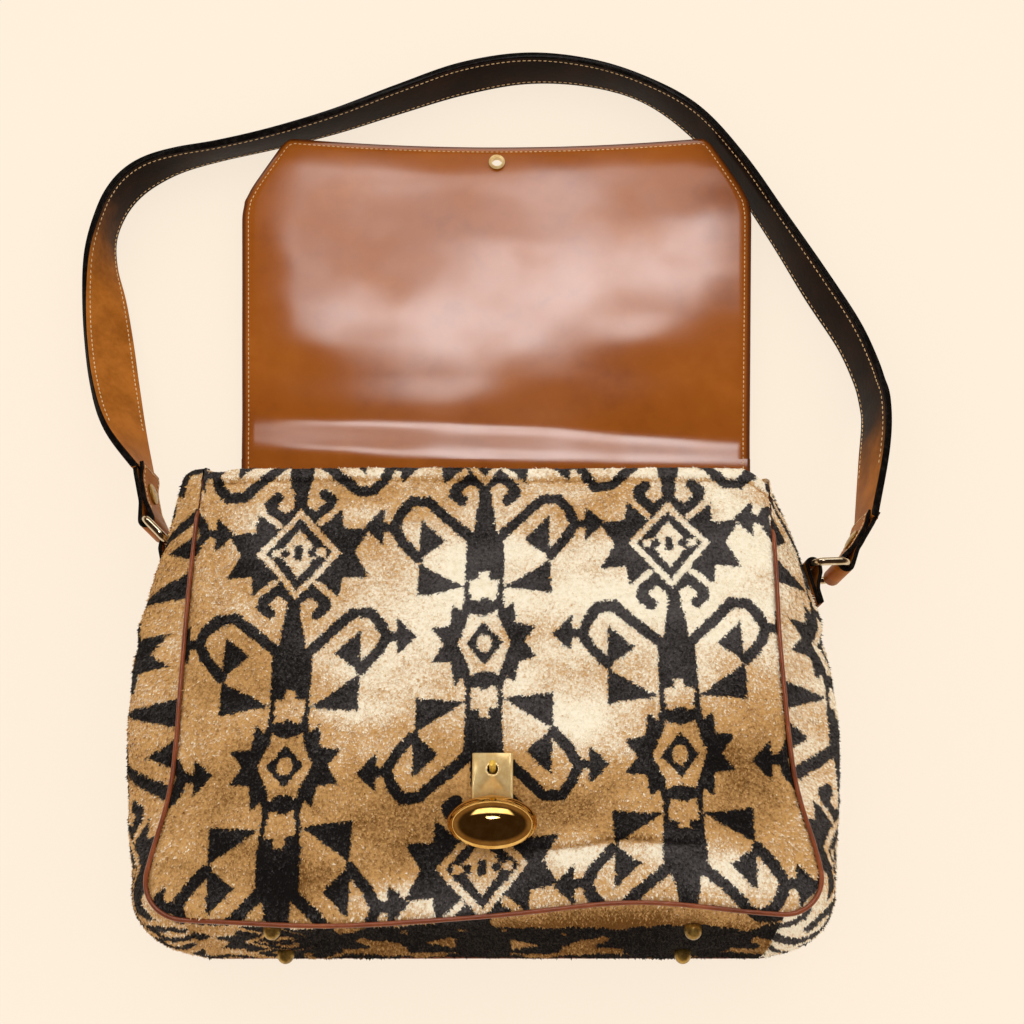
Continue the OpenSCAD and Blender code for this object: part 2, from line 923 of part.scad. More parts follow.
// Smooth line through the stations, and its direction
function route_point(u) =
    let (
        i = min(floor(u), last_station - 1),
        t = u - i,
        b = stations[i],
        c = stations[i + 1],
        a = i > 0 ? stations[i - 1] : 2 * b - c,
        d = i < last_station - 1 ? stations[i + 2] : 2 * c - b
    )
    0.5 * (2 * b + (c - a) * t + (2 * a - 5 * b + 4 * c - d) * t * t + (3 * b - a - 3 * c + d) * t * t * t);
function route_middle(u) =
    let (p = route_point(u))
    [p.x, p.y, p.z + strap_middle(p[3])];
function route_dir(u) =
    u == 0
        ? end_dir(-1, left_strap_turn)
        : u == last_station
            ? -end_dir(1, right_strap_turn)
            : unit(route_middle(u + 0.25) - route_middle(u - 0.25));

// Four corners of the strap's section, its outer edge leaning up from the floor
function strap_ring(u) =
    let (
        lean = route_point(u)[3],
        along = route_dir(u),
        outward = unit([-along.y, along.x, 0]),
        wide = across(outward * cos(lean) + [0, 0, sin(lean)], along) * strap_width / 2,
        thick = cross(along, wide) / norm(wide) * strap_thickness / 2,
        middle = route_middle(u)
    )
    [middle - wide - thick, middle + wide - thick, middle + wide + thick, middle - wide + thick];

module strap() {
    color("saddlebrown")
        loft([for (u = [0 : 1 / strap_steps : last_station]) strap_ring(u)]);
}

// Outline of a loop round a bar that closes to a flat double layer
function teardrop(r, reach, half) =
    let (start = atan2(half, reach) + acos(r / norm([reach, half])), steps = 20)
    concat(
        [
            for (i = [0 : steps])
                let (a = lerp(start, 360 - start, i / steps))
                    [r * cos(a), r * sin(a)]
        ],
        [[reach, -half], [reach, half]]
    );

// Frame of a strap end: x along the strap from the ring's outer bar, z along the bar
function end_dir(side, turn) = swung(side, 90 - turn);
module on_strap_end(side, drop, swing, turn) {
    along = end_dir(side, turn);
    in_frame(ring_bar(side, drop, swing), along, cross(bar_dir(side), along), bar_dir(side))
        children();
}

module strap_end() {
    inner = loop_bore / 2;
    outer = inner + loop_leather;
    hollow = loop_taper - 2 * loop_leather;
    difference() {
        translate([0, 0, -strap_end_width / 2])
            linear_extrude(strap_end_width)
                difference() {
                    union() {
                        polygon(teardrop(outer, loop_taper, loop_leather));
                        translate([loop_taper - overcut, -loop_leather])
                            square([strap_end_length - loop_taper + overcut, 2 * loop_leather]);
                    }
                    polygon(teardrop(inner, hollow, slip_fit / 2));
                }
        translate([rivet_at, 0, 0])
            rotate([90, 0, 0])
                cylinder(d = rivet_post + slip_fit, h = 4 * loop_leather, center = true);
    }
}

module left_strap_end() {
    color("chocolate")
        on_strap_end(-1, left_ring_drop, left_ring_swing, left_strap_turn)
            strap_end();
}

module right_strap_end() {
    color("chocolate")
        on_strap_end(1, right_ring_drop, right_ring_swing, right_strap_turn)
            strap_end();
}

// Domed cap on the inner face of the strap end, a post through it and a flat foot behind
module strap_rivet() {
    cap = rivet_cap / 2;
    rotate_extrude()
        polygon(concat(
            [
                [0, -loop_leather - rivet_foot_height], [rivet_foot / 2, -loop_leather - rivet_foot_height],
                [rivet_foot / 2, -loop_leather], [rivet_post / 2, -loop_leather],
                [rivet_post / 2, loop_leather], [cap, loop_leather]
            ],
            [
                for (a = [15 : 15 : 90])
                    [cap * cos(a), loop_leather + rivet_crown * (0.3 + 0.7 * sin(a))]
            ]
        ));
}

module strap_rivets() {
    color("gold") {
        on_strap_end(-1, left_ring_drop, left_ring_swing, left_strap_turn)
            translate([rivet_at, 0, 0])
                rotate([90, 0, 0])
                    strap_rivet();
        on_strap_end(1, right_ring_drop, right_ring_swing, right_strap_turn)
            translate([rivet_at, 0, 0])
                rotate([-90, 0, 0])
                    strap_rivet();
    }
}

front_panel();
back_panel();
left_gusset();
right_gusset();
base_gusset();
front_piping();
back_piping();
lining();
base_board();
feet();
foot_washers();
flap_root();
flap_top_outer();
flap_top_inner();
flap_front_outer();
flap_front_inner();
eyelet();
eyelet_washer();
lock_plate();
lock_backplate();
latch_pivot();
latch_lever();
latch_dome();
catch_pin();
left_ring_tab();
right_ring_tab();
left_ring();
right_ring();
strap();
left_strap_end();
right_strap_end();
strap_rivets();
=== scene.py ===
import math

import bmesh
import bpy
import numpy as np
from mathutils import Matrix


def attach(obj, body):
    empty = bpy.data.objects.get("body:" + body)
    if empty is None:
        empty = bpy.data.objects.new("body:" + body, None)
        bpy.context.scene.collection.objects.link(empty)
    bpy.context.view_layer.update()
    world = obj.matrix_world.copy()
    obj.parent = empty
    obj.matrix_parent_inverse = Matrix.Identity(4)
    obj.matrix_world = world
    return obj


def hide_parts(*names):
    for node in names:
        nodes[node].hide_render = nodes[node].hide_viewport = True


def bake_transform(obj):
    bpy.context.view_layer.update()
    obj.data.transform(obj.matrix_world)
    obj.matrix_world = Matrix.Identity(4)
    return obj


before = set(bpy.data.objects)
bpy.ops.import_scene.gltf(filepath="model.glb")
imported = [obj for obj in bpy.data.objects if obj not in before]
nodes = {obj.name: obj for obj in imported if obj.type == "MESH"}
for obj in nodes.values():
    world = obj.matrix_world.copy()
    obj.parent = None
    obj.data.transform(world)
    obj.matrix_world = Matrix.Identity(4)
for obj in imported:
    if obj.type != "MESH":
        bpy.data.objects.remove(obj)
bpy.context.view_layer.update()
mm = 0.001
sideName = {-1: "Left", 1: "Right"}


# small helpers for arrays of points, all in millimetres
def unit(v):
    v = np.asarray(v, float)
    return v / np.maximum(np.linalg.norm(v, axis=-1, keepdims=True), 1e-12)


def ease(t):
    t = np.clip(t, 0, 1)
    return t * t * (3 - 2 * t)


def hump(d, width):
    return np.exp(-((d / width) ** 2))


# smooth noise from -1 to 1 on a table of random values, one value a cell
def softNoise(x, y, cell, seed):
    count, shiftX, shiftY = 64, 0.37, 0.61
    table = np.random.default_rng(seed).uniform(-1, 1, (count, count))
    gx, gy = np.asarray(x) / cell + shiftX, np.asarray(y) / cell + shiftY
    ix, iy = np.floor(gx).astype(int), np.floor(gy).astype(int)
    fx, fy = ease(gx - ix), ease(gy - iy)
    ix, iy, nextX, nextY = (i % count for i in (ix, iy, ix + 1, iy + 1))
    low = table[ix, iy] * (1 - fx) + table[nextX, iy] * fx
    high = table[ix, nextY] * (1 - fx) + table[nextX, nextY] * fx
    return low * (1 - fy) + high * fy


def lineNoise(x, cell, seed):
    return softNoise(x, x * 0, cell, seed)


def runLength(points):
    return np.concatenate([[0], np.cumsum(np.linalg.norm(np.diff(points, axis=0), axis=1))])


def resample(points, step=None, count=None):
    points = np.asarray(points, float)
    length = runLength(points)
    count = count or max(2, int(round(length[-1] / step)) + 1)
    at = np.linspace(0, length[-1], count)
    return np.stack([np.interp(at, length, points[:, i]) for i in range(points.shape[1])], axis=1)


def softened(line, rounds):
    for _ in range(rounds):
        line[1:-1] = (line[:-2] + 2 * line[1:-1] + line[2:]) / 4
    return line


def gridFaces(rows, columns, closed=False):
    i, j = np.meshgrid(np.arange(rows - 1), np.arange(columns if closed else columns - 1), indexing="ij")
    k = (j + 1) % columns
    corners = [i * columns + j, i * columns + k, (i + 1) * columns + k, (i + 1) * columns + j]
    return np.stack(corners, -1).reshape(-1, 4)


def endFaces(rows, columns):
    ring = np.arange(columns)
    return np.stack([ring[::-1], (rows - 1) * columns + ring])


def addFields(data, values):
    for key, value in values.items():
        value = np.asarray(value, np.float32)
        kind, field = ("FLOAT_VECTOR", "vector") if value.ndim > 1 else ("FLOAT", "value")
        data.attributes.new(key, kind, "POINT").data.foreach_set(field, value.ravel())


def showMesh(name, data):
    made = bpy.data.objects.new(name, data)
    bpy.context.scene.collection.objects.link(made)
    return made


def makeMesh(name, points, faces, material, values=None):
    data = bpy.data.meshes.new(name)
    points = np.asarray(points, np.float32).reshape(-1, 3) * mm
    data.vertices.add(len(points))
    data.vertices.foreach_set("co", points.ravel())
    groups = [np.asarray(f, np.int32) for f in (faces if isinstance(faces, list) else [faces]) if len(f)]
    corners = np.concatenate([g.ravel() for g in groups])
    sizes = np.concatenate([np.full(len(g), g.shape[1]) for g in groups])
    data.loops.add(len(corners))
    data.loops.foreach_set("vertex_index", corners)
    data.polygons.add(len(sizes))
    data.polygons.foreach_set("loop_start", np.concatenate([[0], np.cumsum(sizes)[:-1]]).astype(np.int32))
    data.update(calc_edges=True)
    data.validate()
    data.polygons.foreach_set("use_smooth", np.full(len(data.polygons), True))
    addFields(data, values or {})
    data.materials.append(material)
    return showMesh(name, data)


def settle(made, slot, body, *replaced):
    if replaced:
        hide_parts(*replaced)
    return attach(made, body)


def sweep(middle, wide, thick, section, closed=False):
    rings = middle[:, None] + section[:, :1] * wide[:, None] + section[:, 1:] * thick[:, None]
    rows, columns = rings.shape[:2]
    faces = gridFaces(rows, columns, True)
    if closed:
        turn = (np.arange(columns) + 1) % columns
        last = (rows - 1) * columns
        seam = np.stack([last + np.arange(columns), last + turn, turn, np.arange(columns)], -1)
        return rings.reshape(-1, 3), [np.concatenate([faces, seam])]
    return rings.reshape(-1, 3), [faces, endFaces(rows, columns)]


def joined(parts):
    points, groups, start = [], [], 0
    for p, faces in parts:
        groups += [np.asarray(f) + start for f in faces]
        points.append(p)
        start += len(p)
    return np.concatenate(points), groups


def roundedBar(width, height, radius, steps=4):
    a = np.linspace(0, np.pi / 2, steps + 1)
    quarter = np.stack([np.cos(a), np.sin(a)], 1) * radius
    w, h = width / 2 - radius, height / 2 - radius
    out = []
    for turn, (sx, sy) in enumerate([(1, 1), (-1, 1), (-1, -1), (1, -1)]):
        c, s = math.cos(turn * math.pi / 2), math.sin(turn * math.pi / 2)
        out.append(quarter @ np.array([[c, s], [-s, c]]) + [sx * w, sy * h])
    return np.concatenate(out)


def circle(radius, count):
    a = np.arange(count) * 2 * np.pi / count
    return np.stack([np.cos(a), np.sin(a)], 1) * radius


print("helpers ready")


# shader sums are written with ordinary operators on this wrapper of a socket
class Wire:
    def __init__(self, tree, socket=None):
        self.tree, self.socket = tree, socket

    def add(self, kind, inputs=None, output=0, **settings):
        made = self.tree.nodes.new(kind)
        for key, value in settings.items():
            setattr(made, key, value)
        for key, value in (inputs or {}).items():
            if isinstance(value, Wire):
                self.tree.links.new(value.socket, made.inputs[key])
            else:
                made.inputs[key].default_value = value
        return Wire(self.tree, made.outputs[output])

    def sum(self, operation, a, b=0.0):
        return self.add("ShaderNodeMath", {0: a, 1: b}, operation=operation)

    def __add__(self, other):
        return self.sum("ADD", self, other)

    __radd__ = __add__

    def __mul__(self, other):
        return self.sum("MULTIPLY", self, other)

    __rmul__ = __mul__

    def __sub__(self, other):
        return self.sum("SUBTRACT", self, other)

    def __rsub__(self, other):
        return self.sum("SUBTRACT", other, self)

    def __truediv__(self, other):
        return self.sum("DIVIDE", self, other)

    def __abs__(self):
        return self.sum("ABSOLUTE", self)

    def step(self, low, high):
        span = {"Value": self, "From Min": low, "From Max": high}
        return self.add("ShaderNodeMapRange", span, interpolation_type="SMOOTHSTEP")

    def noise(self, scale, detail=2.0, roughness=0.5):
        look = {"Vector": self, "Scale": scale, "Detail": detail, "Roughness": roughness}
        return self.add("ShaderNodeTexNoise", look)

    def cells(self, x, y):
        grid = self.add("ShaderNodeVectorMath", {0: self, 1: (1 / x, 1 / y, 1.0)}, operation="MULTIPLY")
        grid = grid.add("ShaderNodeVectorMath", {0: grid}, operation="FLOOR")
        return grid.add("ShaderNodeTexWhiteNoise", {"Vector": grid}, noise_dimensions="2D")

    def blend(self, a, b):
        return self.add("ShaderNodeMix", {0: self, 6: a, 7: b}, output=2, data_type="RGBA")

    def bump(self, distance, strength=1.0):
        return self.add("ShaderNodeBump", {"Height": self, "Distance": distance, "Strength": strength})

    def field(self, name):
        return self.add("ShaderNodeAttribute", output="Fac", attribute_name=name)

    def weave(self):
        return self.add("ShaderNodeAttribute", output="Vector", attribute_name="weave")

    def solid(self):
        return self.add("ShaderNodeTexCoord", output="Object")

    def part(self, axis):
        return self.add("ShaderNodeSeparateXYZ", {0: self}, output=axis)

    def ray(self, kind):
        return self.add("ShaderNodeLightPath", output="Is " + kind + " Ray")


def paint(name, fixed):
    material = bpy.data.materials.new(name)
    material.use_nodes = True
    shader = material.node_tree.nodes["Principled BSDF"]
    for key, value in fixed.items():
        shader.inputs[key].default_value = value
    return material, shader, Wire(material.node_tree)


def plug(shader, wire, name):
    wire.tree.links.new(wire.socket, shader.inputs[name])


# a colour given from 0 to 255, as linear light
def rgb(*channels):
    shares = [c / 255 for c in channels]
    return tuple(((c + 0.055) / 1.055) ** 2.4 if c > 0.04 else c / 12.92 for c in shares) + (1.0,)


def dimmed(colour, share):
    return tuple(c * share for c in colour[:3]) + (1.0,)


# velvet: "ink" is the distance into the black figure, the nap field the painted light and shade on the pile,
# "tip" rises along a tuft
velvetLook = {
    "gold": rgb(206, 163, 105), "pale": rgb(255, 250, 234), "deep": rgb(112, 74, 32),
    "black": rgb(20, 18, 19), "soot": rgb(98, 95, 97), "sheen": rgb(255, 230, 190),
    "tuft": (620, 2, 0.6), "patch": (70, 2, 0.5), "pick": (0.0012, 0.0011), "relief": (0.0010, 0.8),
    "inkEdge": (-0.25, 0.3), "deepStep": (-0.95, 0.08), "paleStep": (0.0, 0.86), "sootStep": (-0.3, 1.2),
    "tuftShade": 1.1, "patchShade": 0.6, "pickShade": 0.3, "tipLight": 0.42, "darken": 0.07,
    "ragged": 1.6, "blackNap": 0.45,
}


def velvetMaterial(name, relief):
    look = velvetLook
    fixed = {"Sheen Weight": 0.05, "Sheen Roughness": 0.5, "Specular IOR Level": 0.1, "Roughness": 0.92}
    material, shader, start = paint(name, {**fixed, "Sheen Tint": look["sheen"]})
    place = start.weave()
    ink, nap, tip = start.field("ink"), start.field("nap"), start.field("tip")
    tuft, patch = place.noise(*look["tuft"]) - 0.5, place.noise(*look["patch"]) - 0.5
    pick = place.cells(*look["pick"]) - 0.5  # the weave's own steps
    mask = (ink + pick + tuft * look["ragged"]).step(*look["inkEdge"])
    # painted light: shade sums the painted light on the pile with random tuft, patch and weave tone
    shade = nap + tuft * look["tuftShade"] + patch * look["patchShade"] + pick * look["pickShade"]
    # painted shade at the roots of the tufts and on the bare cloth between them, lighter at the tips
    shade = shade + tip * look["tipLight"] - look["darken"]
    # the gold runs from deep in painted shade to pale in painted light
    warm = shade.step(*look["deepStep"]).blend(look["deep"], look["gold"])
    warm = shade.step(*look["paleStep"]).blend(warm, look["pale"])
    # the black pile turns a lit grey where the random tone and part of the painted light are high
    dark = (shade - nap * look["blackNap"]).step(*look["sootStep"]).blend(look["black"], look["soot"])
    plug(shader, mask.blend(warm, dark), "Base Color")
    if relief:
        plug(shader, tuft.bump(*look["relief"]), "Normal")
    return material


# leather: the dye goes from deep through base to light with the tone
def dyed(tone, look):
    colour = tone.step(*look["deepStep"]).blend(look["deep"], look["base"])
    return tone.step(*look["lightStep"]).blend(colour, look["light"])


def flapMaterial():
    look = {
        "base": rgb(156, 84, 18), "deep": rgb(138, 70, 10), "light": rgb(168, 96, 30),
        "edge": rgb(100, 50, 18), "deepStep": (0.3, 0.52), "lightStep": (0.5, 0.72), "rim": (1.6, 4.0),
        "worn": (0.42, 0.72), "dull": 0.35, "rough": 0.4, "uneven": 0.12,
        "cloud": (16, 3, 0.5), "mottle": (90, 3, 0.6), "grain": (1400, 2, 0.5), "relief": (0.00022, 0.35),
    }
    material, shader, start = paint("flapLeather", {"Coat Roughness": 0.09, "Specular IOR Level": 0.04})
    place = start.weave()
    cloud, mottle, grain = (place.noise(*look[key]) for key in ("cloud", "mottle", "grain"))
    colour = dyed(cloud * 0.7 + mottle * 0.3, look)
    colour = start.field("rim").step(*look["rim"]).blend(look["edge"], colour)
    plug(shader, colour, "Base Color")
    plug(shader, mottle * look["uneven"] + look["rough"], "Roughness")
    plug(shader, 1.0 - cloud.step(*look["worn"]) * look["dull"], "Coat Weight")
    plug(shader, (grain * 0.3 + mottle * 0.7).bump(*look["relief"]), "Normal")
    return material


def pipingMaterial():
    look = {
        "base": rgb(132, 64, 30), "deep": rgb(98, 44, 20), "light": rgb(158, 88, 48),
        "deepStep": (0.3, 0.55), "lightStep": (0.5, 0.75), "cloud": (38, 3, 0.55), "mottle": (240, 3, 0.6),
        "rough": 0.34, "uneven": 0.2, "relief": (0.0003, 0.4),
    }
    fixed = {"Coat Roughness": 0.18, "Coat Weight": 0.4, "Specular IOR Level": 0.4}
    material, shader, start = paint("pipingLeather", fixed)
    place = start.weave()
    cloud, mottle = place.noise(*look["cloud"]), place.noise(*look["mottle"])
    plug(shader, dyed(cloud * 0.65 + mottle * 0.35, look), "Base Color")
    plug(shader, (mottle - 0.5) * look["uneven"] + look["rough"], "Roughness")
    plug(shader, (mottle + cloud).bump(*look["relief"]), "Normal")
    return material


# strap: "glow" is painted light, high where the strap is painted lit gold and low where it is painted dark in
# shade, "edge" is 1 on the painted cut edges
def strapMaterial():
    look = {
        "dark": rgb(24, 14, 9), "warm": rgb(44, 27, 18), "gold": rgb(146, 86, 28), "amber": rgb(182, 112, 44),
        "edge": rgb(13, 11, 10), "rub": rgb(34, 29, 26), "cloud": (42, 3, 0.55), "mottle": (300, 3, 0.6),
        "dyeStep": (0.3, 0.7), "wornStep": (0.1, 0.9), "rubStep": (0.45, 0.75), "edgeStep": (0.35, 0.75),
        "wornPatch": 0.4, "rough": 0.38, "uneven": 0.25, "edgeRough": 0.15, "relief": (0.0004, 0.45),
    }
    fixed = {"Coat Roughness": 0.14, "Coat Weight": 0.06, "Specular IOR Level": 0.02}
    material, shader, start = paint("strapLeather", fixed)
    place = start.weave()
    cloud, mottle = place.noise(*look["cloud"]), place.noise(*look["mottle"])
    glow, edge = start.field("glow"), start.field("edge")
    dye = (cloud * 0.7 + mottle * 0.3).step(*look["dyeStep"])
    low, high = dye.blend(look["dark"], look["warm"]), dye.blend(look["gold"], look["amber"])
    # painted light: the face goes from dark brown in painted shade to lit gold and amber, with a patchy
    # boundary
    face = (glow + (cloud - 0.5) * look["wornPatch"]).step(*look["wornStep"]).blend(low, high)
    cut = mottle.step(*look["rubStep"]).blend(look["edge"], look["rub"])
    plug(shader, edge.step(*look["edgeStep"]).blend(face, cut), "Base Color")
    plug(shader, (mottle - 0.5) * look["uneven"] + look["rough"] + edge * look["edgeRough"], "Roughness")
    plug(shader, (mottle + cloud).bump(*look["relief"]), "Normal")
    return material


def metalMaterial(name, colour, dark, rough, wear=0.05, metal=1.0):
    material, shader, start = paint(name, {"Metallic": metal})
    cloud = start.solid().noise(260, 3, 0.6)
    plug(shader, cloud.step(0.3, 0.7).blend(dark, colour), "Base Color")
    plug(shader, (cloud - 0.5) * wear * 2 + rough, "Roughness")
    return material


def plainMaterial(name, colour, rough, grain=0.0):
    material, shader, start = paint(name, {"Specular IOR Level": 0.3, "Roughness": rough})
    place = start.solid()
    cloud = place.noise(90, 3, 0.6)
    plug(shader, cloud.step(0.2, 0.8).blend(dimmed(colour, 0.7), colour), "Base Color")
    if grain:
        plug(shader, place.noise(1400, 1, 0.5).bump(0.0004, grain), "Normal")
    return material


velvet, pileLook = velvetMaterial("velvet", True), velvetMaterial("pileLook", False)
flapLeather, strapLeather, pipingLeather = flapMaterial(), strapMaterial(), pipingMaterial()
threadLook = plainMaterial("threadLook", rgb(236, 200, 152), 0.7)
liningCloth = plainMaterial("liningCloth", rgb(88, 58, 40), 0.9, 0.6)
boardLook = plainMaterial("boardLook", rgb(140, 112, 82), 0.8)
mirrorBrass = metalMaterial("mirrorBrass", rgb(238, 196, 118), rgb(214, 166, 88), 0.06, 0.02)
satinBrass = metalMaterial("satinBrass", rgb(255, 230, 172), rgb(240, 206, 140), 0.36, 0.05, 0.45)
pinBrass = metalMaterial("pinBrass", rgb(255, 220, 104), rgb(236, 188, 70), 0.3, 0.05, 0.3)
agedBrass = metalMaterial("agedBrass", rgb(196, 160, 84), rgb(124, 98, 48), 0.3, 0.1, 0.75)
ringMetal = metalMaterial("ringMetal", rgb(226, 212, 186), rgb(190, 170, 136), 0.1, 0.03)
steel = metalMaterial("steel", rgb(170, 160, 140), rgb(136, 124, 104), 0.3)
print("materials ready")


# repeats: one thread or one leaf of pile on points that carry their own turn and growth
def repeatTree(kind):
    tree = bpy.data.node_groups.new(kind + "Repeat", "GeometryNodeTree")
    face = tree.interface
    face.new_socket("Geometry", in_out="INPUT", socket_type="NodeSocketGeometry")
    length = face.new_socket("Length", in_out="INPUT", socket_type="NodeSocketFloat")
    size = face.new_socket("Size", in_out="INPUT", socket_type="NodeSocketFloat")
    look = face.new_socket("Look", in_out="INPUT", socket_type="NodeSocketMaterial")
    face.new_socket("Geometry", in_out="OUTPUT", socket_type="NodeSocketGeometry")
    link = tree.links.new

    def add(name, **inputs):
        made = tree.nodes.new(name)
        for key, value in inputs.items():
            made.inputs[key].default_value = value
        return made

    start, end = add("NodeGroupInput"), add("NodeGroupOutput")
    scale, combine = add("GeometryNodeTransform"), add("ShaderNodeCombineXYZ")
    for axis, source in enumerate(("Length", "Size", "Size")):
        link(start.outputs[source], combine.inputs[axis])
    if kind == "thread":
        shape = add("GeometryNodeMeshUVSphere", Segments=8, Rings=6, Radius=0.5)
    else:
        # a triangle from the root at 0 to its tip at 1
        flat = add("GeometryNodeMeshCircle", Vertices=3, Radius=0.667)
        flat.fill_type = "NGON"
        moved = add("GeometryNodeTransform", Translation=(0.333, 0, 0))
        place, along = add("GeometryNodeInputPosition"), add("ShaderNodeSeparateXYZ")
        shape = add("GeometryNodeStoreNamedAttribute", Name="tip")
        link(flat.outputs[0], moved.inputs["Geometry"])
        link(place.outputs[0], along.inputs[0])
        link(moved.outputs[0], shape.inputs["Geometry"])
        link(along.outputs[0], shape.inputs["Value"])
    link(shape.outputs[0], scale.inputs["Geometry"])
    link(combine.outputs[0], scale.inputs["Scale"])
    shade, rotate = add("GeometryNodeSetShadeSmooth"), add("FunctionNodeEulerToRotation")
    spot = add("GeometryNodeInstanceOnPoints")
    turn = add("GeometryNodeInputNamedAttribute", Name="turn")
    grow = add("GeometryNodeInputNamedAttribute", Name="grow")
    turn.data_type, grow.data_type = "FLOAT_VECTOR", "FLOAT"
    real, dress = add("GeometryNodeRealizeInstances"), add("GeometryNodeSetMaterial")
    link(scale.outputs[0], shade.inputs[0])
    link(start.outputs["Geometry"], spot.inputs["Points"])
    link(shade.outputs[0], spot.inputs["Instance"])
    link(turn.outputs[0], rotate.inputs[0])
    link(rotate.outputs[0], spot.inputs["Rotation"])
    link(grow.outputs[0], spot.inputs["Scale"])
    link(spot.outputs[0], real.inputs[0])
    link(real.outputs[0], dress.inputs["Geometry"])
    link(start.outputs["Look"], dress.inputs["Material"])
    link(dress.outputs[0], end.inputs[0])
    return tree, length.identifier, size.identifier, look.identifier


repeatTrees = {kind: repeatTree(kind) for kind in ("thread", "leaf")}


# a map for baking: each repeat has its own cell, with its neighbours beside it
def spreadMap(data, spots, along, side):
    count, border = len(spots), 0.12
    corners = np.empty(len(data.vertices) * 3, np.float32)
    data.vertices.foreach_get("co", corners)
    corners = corners.reshape(count, -1, 3)
    flat = np.stack([(corners * axis[:, None]).sum(-1) for axis in (along, side)], -1)
    low, high = flat.min(1, keepdims=True), flat.max(1, keepdims=True)
    inside = border + (1 - 2 * border) * (flat - low) / np.maximum(high - low, 1e-9)
    cells = math.ceil(math.sqrt(count))
    row, column = np.empty(count, int), np.empty(count, int)
    row[np.argsort(spots[:, 1], kind="stable")] = np.arange(count) // cells
    column[np.lexsort((spots[:, 0], row))] = np.arange(count) % cells
    place = (inside + np.stack([column, row], -1)[:, None]) / cells
    vertex = np.empty(len(data.loops), np.int32)
    data.loops.foreach_get("vertex_index", vertex)
    place = place.reshape(-1, 2)[vertex].astype(np.float32)
    data.uv_layers.new(name="OFBake").data.foreach_set("uv", place.ravel())


def repeated(name, kind, points, along, up, length, size, material, grow=1.0, fields=None):
    points, along, up = np.asarray(points), unit(along), np.asarray(up)
    fields = fields or {}
    up = unit(up - along * (up * along).sum(-1, keepdims=True))
    side = np.cross(up, along)
    turns = np.array([Matrix(axes).transposed().to_euler() for axes in zip(along, side, up)])
    data = bpy.data.meshes.new(name)
    data.from_pydata(points * mm, [], [])
    addFields(data, {"turn": turns, "grow": np.broadcast_to(grow, len(points)), **fields})
    carrier = showMesh(name + "Points", data)
    tree, lengthId, sizeId, lookId = repeatTrees[kind]
    step = carrier.modifiers.new("repeat", "NODES")
    step.node_group = tree
    step[lengthId], step[sizeId], step[lookId] = length * mm, size * mm, material
    carrier.update_tag()
    bpy.context.view_layer.update()
    plain = bpy.data.meshes.new_from_object(carrier.evaluated_get(bpy.context.evaluated_depsgraph_get()))
    bpy.data.objects.remove(carrier)
    spreadMap(plain, fields.get("weave", points), along, side)
    return showMesh(name, plain)


# body of the bag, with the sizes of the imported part
bag = {
    "halfBase": 173.0, "halfMouth": 161.0, "frontHeight": 244.0, "backHeight": 250.0, "baseDepth": 90.0,
    "mouthDepth": 75.0, "frontBottom": -122.0, "backBottom": -138.0, "corner": 22.0, "velvet": 4.0,
    "swell": 27.0, "mouthShare": 0.3, "baseShare": 0.5, "closure": 5.0, "claspHeight": 72.0, "seamInset": 1.2,
    "skirt": 3.2,
}
tilt = math.asin((bag["baseDepth"] - bag["mouthDepth"]) / bag["frontHeight"])


def sideSlope(h):
    return math.atan((bag["halfBase"] - bag["halfMouth"]) / h)


def cornerX(h):
    return bag["halfBase"] - bag["corner"] * (math.tan(sideSlope(h)) + 1 / math.cos(sideSlope(h)))


def halfWidth(h, q, inset):
    d, r = sideSlope(h), bag["corner"]
    straight = bag["halfBase"] - q * math.tan(d) - inset / math.cos(d)
    curve = cornerX(h) + np.sqrt(np.maximum(0, (r - inset) ** 2 - (r - q) ** 2))
    return np.where(q >= r + (r - inset) * math.sin(d), straight, curve)


# k runs down a side seam from the mouth at 0 to the corner at 1 and round the corner to 2
def sidePoint(h, k, inset):
    d, r = sideSlope(h), bag["corner"]
    k, inset = np.broadcast_arrays(np.asarray(k, float), np.asarray(inset, float))
    top = np.stack([bag["halfMouth"] - inset / math.cos(d), np.full(k.shape, h)], -1)
    start = np.stack([cornerX(h) + (r - inset) * math.cos(d), r + (r - inset) * math.sin(d)], -1)
    a = d - (k - 1) * (math.pi / 2 + d)
    curve = np.stack([cornerX(h) + (r - inset) * np.cos(a), r + (r - inset) * np.sin(a)], -1)
    return np.where((k <= 1)[..., None], top + (start - top) * np.minimum(k, 1)[..., None], curve)


def frontPoint(x, q, depth):
    x, q, depth = np.broadcast_arrays(x, q, depth)
    c, s = math.cos(tilt), math.sin(tilt)
    return np.stack([x, bag["frontBottom"] + q * c - depth * s, bag["baseDepth"] - q * s - depth * c], -1)


def backPoint(x, q, depth):
    x, q, depth = np.broadcast_arrays(x, q, depth)
    return np.stack([x, bag["backBottom"] + q, depth], -1)


def seamDistance(h, x, q):
    d, r = sideSlope(h), bag["corner"]
    side = (bag["halfBase"] - q * math.tan(d) - np.abs(x)) * math.cos(d)
    inCorner = (np.abs(x) > cornerX(h)) & (q < r)
    curve = r - np.hypot(np.abs(x) - cornerX(h), r - q)
    return np.maximum(np.where(inCorner, curve, np.minimum(side, q)), 0)


